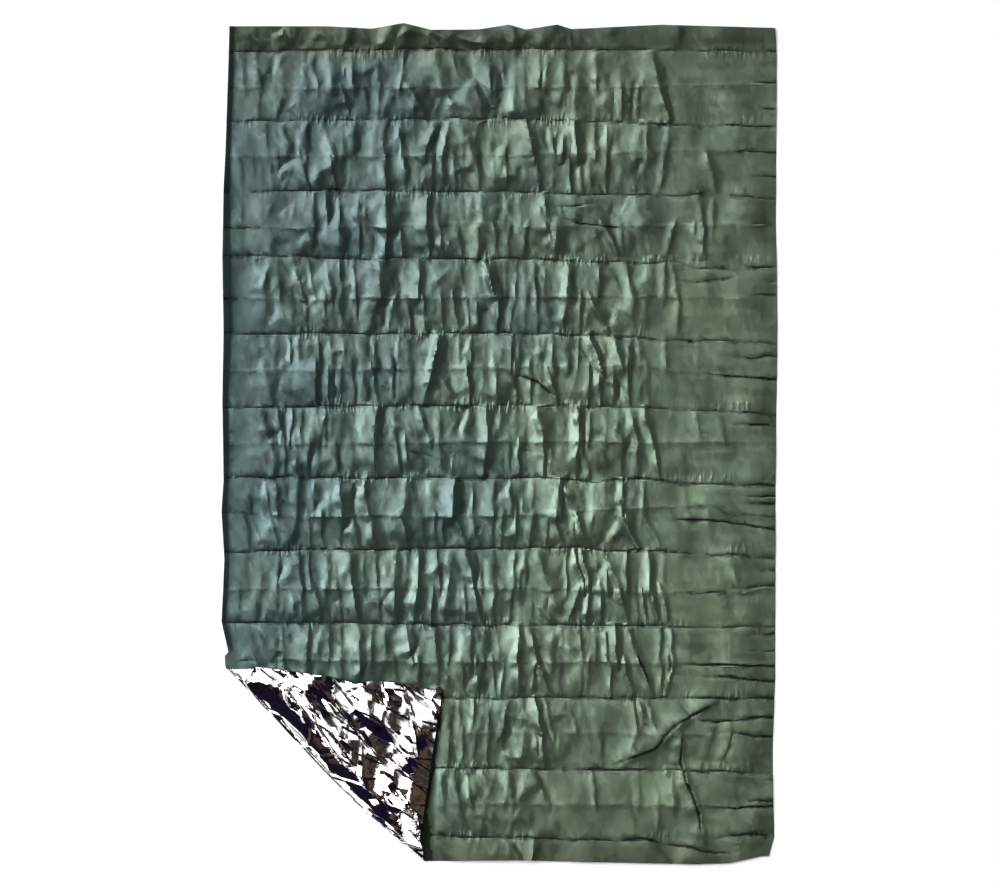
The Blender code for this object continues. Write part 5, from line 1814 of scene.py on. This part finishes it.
@dataclass(frozen=True)
class Studio:
    """The floor, the light, the surroundings and the camera.

    Attributes:
        floor_size: side of the square floor, in metres.
        floor_shades: two colours that the floor wanders between.
        floor_roughness: its roughness.
        lights: the soft lights.
        room: the painted surroundings.
        camera_height: height of the camera above the floor, in metres.
        lens: its focal length, in millimetres.
    """

    floor_size: float = 24.0
    floor_shades: tuple[Colour, Colour] = ((0.93, 0.93, 0.93), (0.95, 0.95, 0.95))
    floor_roughness: float = 0.7
    lights: tuple[SoftLight, ...] = (
        SoftLight("window", (-4.9, 1.2, 4.2), (2.0, 5.0), 90.0, (0.88, 0.95, 1.0)),
    )
    room: Room = Room()
    camera_height: float = 14.0
    lens: float = 201.6

    def lay_floor(self) -> bpy.types.Object:
        """Lay the plain pale floor that the blanket lies on.

        Returns:
            The floor.
        """
        bpy.ops.object.select_all(action="DESELECT")
        bpy.ops.mesh.primitive_plane_add(size=self.floor_size)
        floor = bpy.context.active_object
        floor.name = "floor"
        material = bpy.data.materials.new("pale_floor")
        material.use_nodes = True
        graph = Graph(material.node_tree)
        patches = FLOOR_PATCHES.raw(graph, graph.add("ShaderNodeTexCoord").outputs["Object"])
        shade = graph.blend(patches, (*self.floor_shades[0], 1.0), (*self.floor_shades[1], 1.0))
        surface = material.node_tree.nodes["Principled BSDF"]
        graph.put(shade, surface.inputs["Base Color"])
        graph.put(self.floor_roughness, surface.inputs["Roughness"])
        floor.data.materials.append(material)
        return floor

    def light_up(self) -> None:
        """Hang the lights and paint the surroundings."""
        for light in self.lights:
            light.hang()
        self.room.paint()
        bpy.context.scene.view_settings.view_transform = "Standard"

    def place_camera(self) -> None:
        """Place the camera straight above the blanket, looking down."""
        lens = bpy.data.cameras.new("overhead")
        lens.lens = self.lens
        camera = bpy.data.objects.new("overhead", lens)
        bpy.context.scene.collection.objects.link(camera)
        camera.location = (0.0, 0.0, self.camera_height)
        bpy.context.scene.camera = camera


def main() -> None:
    """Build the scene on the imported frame."""
    logging.basicConfig(level=logging.INFO, format="%(name)s: %(message)s")
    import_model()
    studio = Studio()
    studio.light_up()
    studio.place_camera()
    floor = studio.lay_floor()
    LOG.info("%s: %d faces", floor.name, len(floor.data.polygons))
    sheet = Blanket().build()
    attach(sheet, "root")
    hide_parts("foil_sheet")
    LOG.info("%s: %d faces", sheet.name, len(sheet.data.polygons))


if __name__ == "__main__":
    main()
